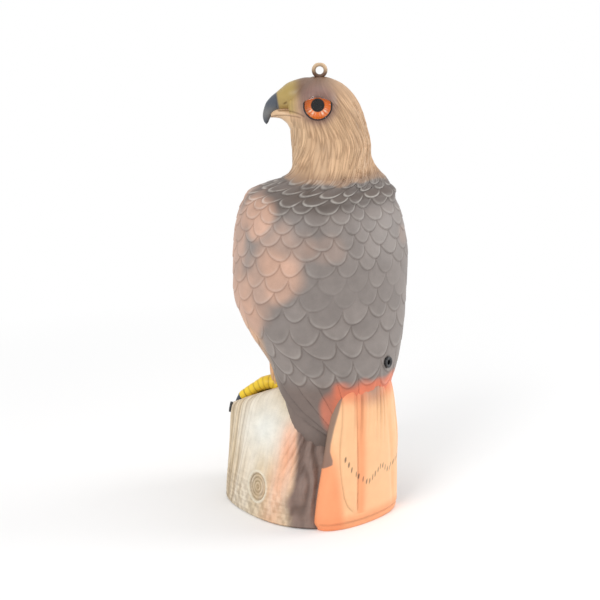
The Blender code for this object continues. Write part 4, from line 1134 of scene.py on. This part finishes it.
def tail_relief(metres, left, up, outer):
    """Height of the fan's face and its creases, from the place across and up: cosine pleats
    that fade downwards, and lines cut along the narrow feather's two borders. The creases
    are painted shade in the pleats' troughs, the cut lines and the step near the ground."""
    fan = metres / (1.0 - 0.35 * up / TAIL_HEIGHT)
    top = ramp(up, 0.060, 0.055) * (1 - 0.7 * ramp(up, 0.112, 0.010))
    pleat = np.cos(fan / PLEAT_WAVE) * bell(fan, -0.004, 0.014)
    pleat = pleat + 1.3 * np.cos(fan / LEFT_PLEAT_WAVE) * bell(fan, 0.026, 0.010)
    left_edge = np.interp(up, NARROW_EDGE[:, 0], NARROW_EDGE[:, 1])
    right_edge = valley_line(TAIL_VALLEYS[2], up / TAIL_HEIGHT)
    off = np.maximum(left - left_edge, right_edge - left)
    line = line_glow(np.abs(off), 0.0012) * ramp(up, 0.013, 0.003)
    seam = bell(up, GROUND_STEP, 0.0009)
    rise = 0.0008 * pleat * top - 0.0008 * line + 0.0005 * ease(-off / 0.003) * (up > 0.0145)
    rise = rise + 0.0010 * bell(fan, 0.0, 0.018) * ramp(up, 0.008, 0.03)
    rise = rise + 0.0006 * ramp(up, 0.0062, 0.0016) - 0.0005 * seam
    # painted shade in the pleats' troughs, the cut lines and the step
    crease = np.maximum(0.85 * np.clip(-pleat, 0, 1) ** 2 * top, 0.75 * line ** 2)
    return rise, np.maximum(crease, 0.75 * seam) * outer


def tail_strokes(left, up):
    """The band's strokes: short marks along a zigzag, each a narrow slanting ellipse."""
    ink = 0.0
    for (start, end), count in TAIL_BAND:
        for part in (np.arange(count) + 0.5) / count:
            x = start[0] + (end[0] - start[0]) * part
            z = start[1] + (end[1] - start[1]) * part
            slant = left - x + STROKE_SLANT * (up - z)
            reach = (slant / STROKE_HALF[0]) ** 2 + ((up - z) / STROKE_HALF[1]) ** 2
            ink = np.maximum(ink, np.clip(1.4 - reach, 0, 1))
    return ink


def make_tail(look):
    """Broad fan, a squared oval at each level whose back face bulges by the square of the
    place along it: pleats that die out downwards, bell-shaped valleys, one long narrow
    feather between two broad ones, a step near the ground and a zigzag of short strokes."""
    turns = full_turn(TAIL_COLUMNS)
    cos, sin = np.cos(turns)[None, :], np.sin(turns)[None, :]
    at = np.interp(np.linspace(0, 1, TAIL_ROWS), TAIL_LEVELS[:, 0],
                   np.arange(len(TAIL_LEVELS)))
    height, reach, width, shift = through_rows(TAIL_LEVELS, at).T[..., None]
    along = np.sign(cos) * np.abs(cos) ** TAIL_SQUARING[0]
    through = np.sign(sin) * np.abs(sin) ** TAIL_SQUARING[1]
    outer = ease(through * 3)
    metres = along * TAIL_WIDTH / 2 * width
    left, up = TAIL_SHIFT * shift + metres, height * TAIL_HEIGHT
    relief_height, crease = tail_relief(metres, left, up, outer)
    behind = TAIL_REACH * reach - TAIL_HALF_THICK * (1 - through) - TAIL_BULGE * along ** 2
    behind = behind + (relief_height - RELIEF_SINK) * outer
    for valley in TAIL_VALLEYS:
        dip = bell(left, valley_line(valley, height), TAIL_VALLEY_REACH) * (through > 0)
        behind = behind - TAIL_VALLEY_DEPTH * ease(height / 0.20) * dip
    grid = world_places(-behind, left, up)

    side_glow = ramp(left, 0.040, 0.010) + 0.45 * ramp(left, -0.026, -0.02)
    gather = ramp(up, 0.100, 0.022) * bell(left, 0.004, 0.014)
    border = np.interp(up, WING_SHADE[:, 0], WING_SHADE[:, 1])
    shaded = ease((border - grid[..., 0] + SHIFT[0]) / 0.0018 + 0.5) * ramp(up, 0.124, -0.008)
    paint = painted(
        np.broadcast_to(TAIL_PEACH, grid.shape), (0.85 * side_glow, TAIL_ORANGE),
        (0.75 * ramp(up, 0.100, 0.03), TAIL_ORANGE),
        (0.7 * bell(left, 0.0275 - 0.09 * up, 0.0045) * (up > 0.012), TAIL_ORANGE),
        (0.6 * ramp(up, 0.016, -0.008), TAIL_ORANGE), (0.7 * gather, GREY),
        (0.6 * ramp(up, 0.108, 0.012) * (1 - gather), EMBER), (0.85 * shaded, TAUPE),
        (0.85 * tail_strokes(left, up) * outer, INK))
    shell_piece("tail_fan", look, grid, paint, crease)


# Beak, jaw, loop, legs and feet.


def station_grid(stations, root, size, count, columns):
    """Ovals between a top and an underside point, read smoothly from the stations."""
    rows = through_rows(stations, np.linspace(0, len(stations) - 1, count))
    length, depth, half_width = size
    none = np.zeros(count)
    top = np.stack([root[0] - rows[:, 0] * length, none, root[1] - rows[:, 1] * depth], 1)
    under = np.stack([root[0] - rows[:, 2] * length, none, root[1] - rows[:, 3] * depth], 1)
    side = np.stack([none, half_width * rows[:, 4], none], 1)
    turns = full_turn(columns)[None, :, None]
    return ((top + under)[:, None] / 2 + np.cos(turns) * (top - under)[:, None] / 2
            + np.sin(turns) * side[:, None] + SHIFT)


def make_beak(look):
    """Hooked upper beak and lower jaw, with mouth lines, nostril and the cere's edge cut in
    by their closeness to lines in the XZ plane and darkened in the crease layer as painted
    shade; a faint cream band on the slate tip is a painted highlight."""
    for name, grid in (("beak_hook", station_grid(BEAK_STATIONS, BEAK_ROOT, BEAK_SIZE, 90, 96)),
                       ("lower_jaw", station_grid(JAW_STATIONS, JAW_ROOT, JAW_SIZE, 70, 80))):
        mouth, nostril, edge = mouth_lines(grid), 0.0, 0.0
        if name == "beak_hook":
            nostril, edge = near_line(grid, NOSTRIL, 0.0013), near_line(grid, CERE_EDGE, 0.0007)
            x, z = grid[..., 0] - SHIFT[0], grid[..., 2]
            tip = ease((-0.0335 + 0.18 * (0.372 - z) - x) / 0.0022)
            # slate tip; the faint cream band low on it is a painted highlight
            paint = painted(face_paint(grid, TAN), (tip, BEAK_SLATE),
                            (0.14 * tip * bell(z, 0.360, 0.006), CREAM))
        else:
            paint = painted(TAN, (np.array(0.5), SAND))
        sunk = MOUTH_DEPTH * mouth + NOSTRIL_DEPTH * nostril + CERE_DEPTH * edge
        grid = grid - outward(grid) * sunk[..., None]
        # painted shade in the mouth lines, nostril and cere's edge
        crease = np.maximum(np.maximum(mouth, nostril), 0.5 * edge)
        paint = np.broadcast_to(paint, grid.shape)
        shell_piece(name, look, grid[:, ::-1], paint[:, ::-1], crease[:, ::-1])


def tube_grid(centres, radii, columns, flat=1.0):
    """Tube round a path of centres: each ring is square to the path."""
    centres = np.asarray(centres, dtype=float)
    ways = unit(np.gradient(centres, axis=0))
    side = unit(np.cross(ways, (0.0, 0.0, 1.0)))
    lift = np.cross(side, ways)
    turns = full_turn(columns)[None, :, None]
    ring = np.cos(turns) * side[:, None] + flat * np.sin(turns) * lift[:, None]
    return centres[:, None] + np.asarray(radii)[:, None, None] * ring


def smooth_path(points, count):
    """Evenly many places along the smooth curve through a few."""
    return through_rows(points, np.linspace(0, len(points) - 1, count))


def stump_top_at(ahead, left):
    """Height of the stump's top, a tilted plane, at a place ahead and left of the axis."""
    place = world_places(np.asarray(ahead), np.asarray(left), 0.0) - SHIFT
    return STUMP_HEIGHT - STUMP_TOP_FALL * ((place[..., :2] - STUMP_FOOT - STUMP_LEAN) @ FORWARD)


def make_thigh(look, name, left):
    """Thigh as a tube with locks of short feathers, a cosine that wanders round and down."""
    count, columns = 64, 96
    ankle = float(stump_top_at(FOOT_FORWARD, left)) + FOOT_RISE
    share = np.linspace(0, 1, count)
    up = THIGH_TOP + (ankle - 2 * FOOT_RISE - THIGH_TOP) * share
    widths = smooth_path(np.array(THIGH_WIDTHS)[:, None], count)[:, 0]
    path = world_places(FOOT_FORWARD - THIGH_LEAN * (1 - share), np.full(count, left), up)
    grid = tube_grid(path, THIGH_RADIUS * widths, columns)
    wander = 5 * share[:, None] + 1.5 * drift(grid, 0.02, 71)
    locks = np.cos(full_turn(columns)[None, :] * 14 + wander)
    grid = grid + outward(grid) * (0.0005 * locks - 0.0004)[..., None]
    paint = painted(APRICOT, (0.6 * ramp(share[:, None], 0.5, 0.3), SAND))
    # painted shade in the grooves between the locks
    crease = np.clip(-locks, 0, 1) ** 2 * 0.6
    shell_piece(name, look, grid[:, ::-1], paint, crease[:, ::-1])


def make_foot(look, name, left, side):
    """Toes as arched tubes with cross scutes, the root of a sine along each toe, and plain
    hooked claws."""
    count, columns = 110, 48
    along = np.linspace(0, 9, count)[:, None]       # 5 at the toe's end, 9 at the claw's
    scute = np.abs(np.sin(along * math.pi * 1.6)) ** 0.5 * (along < 5.2)
    line = (1 - scute) ** 2 * (along < 5.0)
    paint = painted(TOE_YELLOW, (0.75 * line, TOE_BROWN), (ramp(along, 5.2, 0.3), BEAK_SLATE))
    grids = []
    for turn in TOE_TURNS:
        length = TOE_LENGTH * (1.0 if math.cos(turn) > 0 else 0.5)
        part = np.linspace(0, 1, len(TOE_LIFTS))
        ahead = FOOT_FORWARD + length * part * math.cos(turn)
        aside = left + side * length * part * math.sin(turn)
        up = stump_top_at(ahead, aside) + TOE_RADIUS * np.array(TOE_LIFTS)
        places = world_places(ahead, aside, up)
        way = unit(places[-1] - places[-2])
        hook = np.outer(CLAWS[:, 0], way) - np.outer(CLAWS[:, 1], (0, 0, 1))
        claw = places[-1] + CLAW_LENGTH * hook
        radii = TOE_RADIUS * np.concatenate([TOE_WIDTHS, CLAWS[:, 2]])
        radius = smooth_path(radii[:, None], count) * (1 + 0.07 * scute - 0.05)
        path = smooth_path(np.concatenate([places, claw]), count)
        grids.append(tube_grid(path, radius[:, 0], columns, 0.85)[:, ::-1])
    toes = len(grids)
    # the lines between scutes: brown paint, darkened further in the crease layer as painted shade
    shell_piece(name, look, grids, [paint] * toes, [0.6 * line] * toes, [0.0] * toes)


def make_legs(feather_look, scale_look):
    """Both thighs and feet, mirrored about the body's axis."""
    for name, side in (("left", 1), ("right", -1)):
        make_thigh(feather_look, "thigh_" + name, side * FOOT_SPREAD)
        make_foot(scale_look, "foot_" + name, side * FOOT_SPREAD, side)


LOOP_PLACE = np.array([0.0022, 0.0, CROWN + 0.0054])


def make_loop(look):
    """Hanging loop: a rounded ring with a pinched parting line, a bell curve on its rim."""
    middle, half, thick = 0.0052, 0.0016, 0.0023
    turns, section = full_turn(96)[:, None], full_turn(40)
    cos, sin = np.cos(section), np.sin(section)
    across = half * np.sign(cos) * np.abs(cos) ** 0.8
    through = thick * np.sign(sin) * np.abs(sin) ** 0.8
    radius = middle + across + np.sign(across) * 0.00015 * bell(through, 0.0, 0.0003)
    ring = np.stack(np.broadcast_arrays(radius * np.cos(turns), through, radius * np.sin(turns)),
                    axis=-1) + SHIFT + LOOP_PLACE
    paint = painted(CROWN_BROWN, (0.8 * ramp(ring[..., 2], 0.394, 0.006), SAND))
    shell_piece("hanging_loop", look, ring, paint, ring=True)


# Eyes and plugs, turned about an axis.


def turned_grid(profile, foot, axis, columns):
    """Profile of radius and distance, from the axis and back to it, turned about the axis."""
    other = unit(np.cross(axis, (0.0, 0.0, 1.0)))
    third = np.cross(axis, other)
    turns = full_turn(columns)[None, :, None]
    radius, along = np.array(profile).T[..., None, None]
    return (foot + along * np.asarray(axis)
            + np.maximum(radius, 1e-6) * (np.cos(turns) * other + np.sin(turns) * third))


def rounded(profile, radius, steps=4):
    """Profile with each corner replaced by a short parabola between its two sides."""
    points = np.array(profile, dtype=float)
    share = np.linspace(0, 1, steps + 1)[:, None]
    made = [points[:1]]
    for before, here, after in zip(points, points[1:], points[2:]):
        enter, leave = before - here, after - here
        reach = min(radius, np.linalg.norm(enter) / 2.1, np.linalg.norm(leave) / 2.1)
        start, end = here + unit(enter) * reach, here + unit(leave) * reach
        made.append((1 - share) ** 2 * start + 2 * share * (1 - share) * here + share ** 2 * end)
    return np.concatenate(made + [points[-1:]])


CUP_FLOOR = 0.0020
DISC_THICK = 0.0012
DOME_RISE = 0.0042      # of the clear dome over its shoulder, an ellipse


def make_eyes(cup_look, disc_look, dome_look):
    """Each eye from its seat outwards: a rounded cup, the printed disc on its floor, whose
    pale spokes, painted highlights low in the iris, are a cosine of the angle inside a
    bell-shaped band, and a clear half ellipsoid."""
    outer, inner = EYE_RADIUS, EYE_RADIUS - CUP_WALL
    radius = inner - FIT_GAP
    edge = CUP_WALL / 3
    start = FIT_GAP
    floor, rim = start + CUP_FLOOR, start + CUP_DEPTH
    low = floor + FIT_GAP
    high = low + DISC_THICK
    cup = rounded(((0, start), (outer, start), (outer, rim), (inner, rim), (inner, floor),
                   (0, floor)), edge)
    disc = [(0, low), (radius, low), (radius, high)]
    disc += [(radius * s, high) for s in np.linspace(0.97, 0.0, 26)]
    dome = [(0, high + FIT_GAP), (radius, high + FIT_GAP)]
    dome += [(radius * math.cos(a), rim - edge + DOME_RISE * math.sin(a))
             for a in np.linspace(0, math.pi / 2, 28)]
    for name, side in (("left", -1), ("right", 1)):
        seat = SHIFT + np.array([EYE_X, side * EYE_SEAT, EYE_Z])
        axis = np.array([0.0, side, 0.0])
        piece = build_mesh("eye_socket_cup_" + name, [turned_grid(cup, seat, axis, 96)], {})
        place_piece(piece, cup_look, "decoy", "eye_cup_" + name)
        grid = turned_grid(disc, seat, axis, 144)
        out = np.hypot(grid[..., 0] - seat[0], grid[..., 2] - EYE_Z)
        angle = np.arctan2(grid[..., 0] - seat[0], EYE_Z - grid[..., 2])
        # pale spokes low in the iris: painted highlights
        highlight_rays = np.cos(angle * 22 + 1.5 * np.sin(angle * 5)) * 0.5 + 0.5
        highlight_rays = highlight_rays * bell(np.abs(angle), 0.75, 0.42) * 1.6 * bell(out / radius, 0.62, 0.15)
        piece = build_mesh("eye_disc_" + name, [grid], {"out": [out / radius], "spoke_highlight": [highlight_rays]})
        place_piece(piece, disc_look, "decoy", "eye_iris_" + name)
        piece = build_mesh("eye_dome_" + name, [turned_grid(dome, seat, axis, 96)], {})
        place_piece(piece, dome_look, "decoy", "eye_lens_" + name)


def make_plugs(look):
    """Turned plug: flange with a soft edge, barrel and a blind square-edged recess."""
    flange, barrel, recess = 0.0050, 0.0037, 0.0023
    thick, length, deep = 0.0024, 0.0070, 0.0058
    profile = rounded(((0, -length), (barrel, -length), (barrel, 0), (flange, 0), (flange, thick),
                       (recess + 0.0009, thick), (recess + 0.0007, thick - 0.0005),
                       (recess, thick - 0.0006), (recess, thick - deep), (0, thick - deep)), 0.0005)
    for name in ("back_plug", "stump_plug"):
        foot, axis, _ = plug_frame(name)
        grid = turned_grid(profile, foot + axis * length, axis, 72)
        piece = build_mesh(name + "_turned", [grid], {}, smooth_angle=50.0)
        place_piece(piece, look, name + "_body", name)


# Floor, light and camera.

FLOOR_REACH = 12.0
FLOOR_DROP = 0.0002
FLOOR_FADE = (0.20, 0.75)           # metres from the middle where it starts and ends
WORLD_LIGHT = 0.56
AIMED_AT = np.array([0.0, 0.0, 0.2])
SENSOR_WIDTH = 36.0
PHOTO_PIXELS = 600
PHOTO_DISTANCE = 1.46
PHOTO_RISE = math.radians(14)
PHOTO_FOCAL = 1604.0                # in pixels of the 600 by 600 frame
PHOTO_OFFSET = (-16.5, -12.0)       # from the aimed place to the frame's middle, in pixels
# Name, place, size in metres and power in watts of each lamp.
LAMPS = (("key_light", (-0.9, -1.5, 1.5), 0.9, 19.0), ("top_light", (0.2, 0.1, 1.7), 1.2, 8.0),
         ("side_light", (1.6, 0.4, 0.7), 0.8, 11.0))


def seen_rays(tree):
    """1 for rays straight from the camera, in a gloss or through glass."""
    path = add(tree, "ShaderNodeLightPath").outputs
    some = maths(tree, 'MAXIMUM', path["Is Camera Ray"], path["Is Glossy Ray"])
    return maths(tree, 'MAXIMUM', some, path["Is Transmission Ray"])


def make_stage():
    """Pale floor that turns white away from the object, so that only its shadow shows."""
    mesh = bpy.data.meshes.new("studio_floor")
    corners = [(x * FLOOR_REACH, y * FLOOR_REACH, 0)
               for x, y in ((-1, -1), (1, -1), (1, 1), (-1, 1))]
    mesh.from_pydata(corners, [], [(0, 1, 2, 3)])
    floor = bpy.data.objects.new("studio_floor", mesh)
    floor.location.z = -FLOOR_DROP
    bpy.context.scene.collection.objects.link(floor)
    look, tree, surface = principled("studio_floor")
    feed(tree, surface, {"Base Color": (0.94, 0.94, 0.94), "Roughness": 0.9,
                         "Specular IOR Level": 0.0})
    far = add(tree, "ShaderNodeVectorMath", {0: object_places(tree)}, operation='LENGTH')
    fade = mapped(tree, far.outputs["Value"], *FLOOR_FADE, 0.0, 1.0)
    blend = add(tree, "ShaderNodeMixShader", {
        0: maths(tree, 'MULTIPLY', fade, seen_rays(tree)), 1: surface.outputs["BSDF"],
        2: add(tree, "ShaderNodeEmission").outputs["Emission"]})
    output = next(n for n in tree.nodes if n.type == 'OUTPUT_MATERIAL')
    feed(tree, output, {"Surface": blend.outputs["Shader"]})
    mesh.materials.append(look)


def make_light():
    """Even world light that shows white to the camera, and three soft square lamps."""
    world = bpy.data.worlds.new("studio")
    bpy.context.scene.world = world
    world.use_nodes = True
    tree = world.node_tree
    light = tree.nodes["Background"]
    feed(tree, light, {"Color": (1.0, 1.0, 1.0), "Strength": WORLD_LIGHT})
    white = add(tree, "ShaderNodeBackground", {"Color": (1.0, 1.0, 1.0), "Strength": 1.0})
    blend = add(tree, "ShaderNodeMixShader", {0: seen_rays(tree), 1: light.outputs["Background"],
                                              2: white.outputs["Background"]})
    feed(tree, tree.nodes["World Output"], {"Surface": blend.outputs["Shader"]})
    for name, place, size, power in LAMPS:
        lamp = bpy.data.lights.new(name, 'AREA')
        lamp.size, lamp.energy = size, power
        thing = bpy.data.objects.new(name, lamp)
        bpy.context.scene.collection.objects.link(thing)
        thing.location = place
        thing.rotation_euler = look_turn(AIMED_AT - np.array(place))


def look_turn(aim):
    """Turn that points an object's -Z along a direction with +Y upwards."""
    return Vector(aim).to_track_quat('-Z', 'Y').to_euler()


def make_camera():
    """The photograph's view: 14 degrees above the horizon, 1.46 m away, the frame's middle
    16.5 pixels left of and 12 below the aimed place."""
    back = np.array([0.0, -math.cos(PHOTO_RISE), math.sin(PHOTO_RISE)])
    up = np.array([0.0, math.sin(PHOTO_RISE), math.cos(PHOTO_RISE)])
    aim = SHIFT + AIMED_AT
    place = aim + back * PHOTO_DISTANCE
    offset = np.array([PHOTO_OFFSET[0], 0.0, 0.0]) + up * PHOTO_OFFSET[1]
    data = bpy.data.cameras.new("photo_camera")
    data.sensor_width = SENSOR_WIDTH
    data.lens = PHOTO_FOCAL / PHOTO_PIXELS * SENSOR_WIDTH
    camera = bpy.data.objects.new("photo_camera", data)
    bpy.context.scene.collection.objects.link(camera)
    camera.location = place
    camera.rotation_euler = look_turn(aim + offset * PHOTO_DISTANCE / PHOTO_FOCAL - place)
    bpy.context.scene.camera = camera


bpy.context.scene.view_settings.view_transform = 'Standard'
group = airbrush_group()
feather_paint = painted_look("sprayed_feathers", group, mist=0.085, crease_shade_depth=0.82)
bark_paint = painted_look("sprayed_bark", group, mist=0.10, crease_shade_depth=0.7, gloss=0.6,
                          bump=0.00012)
tail_paint = painted_look("sprayed_tail", group, mist=0.035, crease_shade_depth=0.5, gloss=0.48)
horn_paint = painted_look("sprayed_beak", group, mist=0.06, crease_shade_depth=0.8, gloss=0.38)
scale_paint = painted_look("sprayed_toes", group, mist=0.06, crease_shade_depth=0.6, gloss=0.42)
plastic = black_plastic_look("black_plug_plastic", (0.016, 0.016, 0.017), 0.32)
cup_plastic = black_plastic_look("black_cup_plastic", (0.010, 0.009, 0.009), 0.28)

make_bird(feather_paint)
make_stump(bark_paint)
make_tail(tail_paint)
make_beak(horn_paint)
make_legs(feather_paint, scale_paint)
make_loop(feather_paint)
make_eyes(cup_plastic, iris_look(), clear_dome_look())
make_plugs(plastic)
make_stage()
make_light()
make_camera()
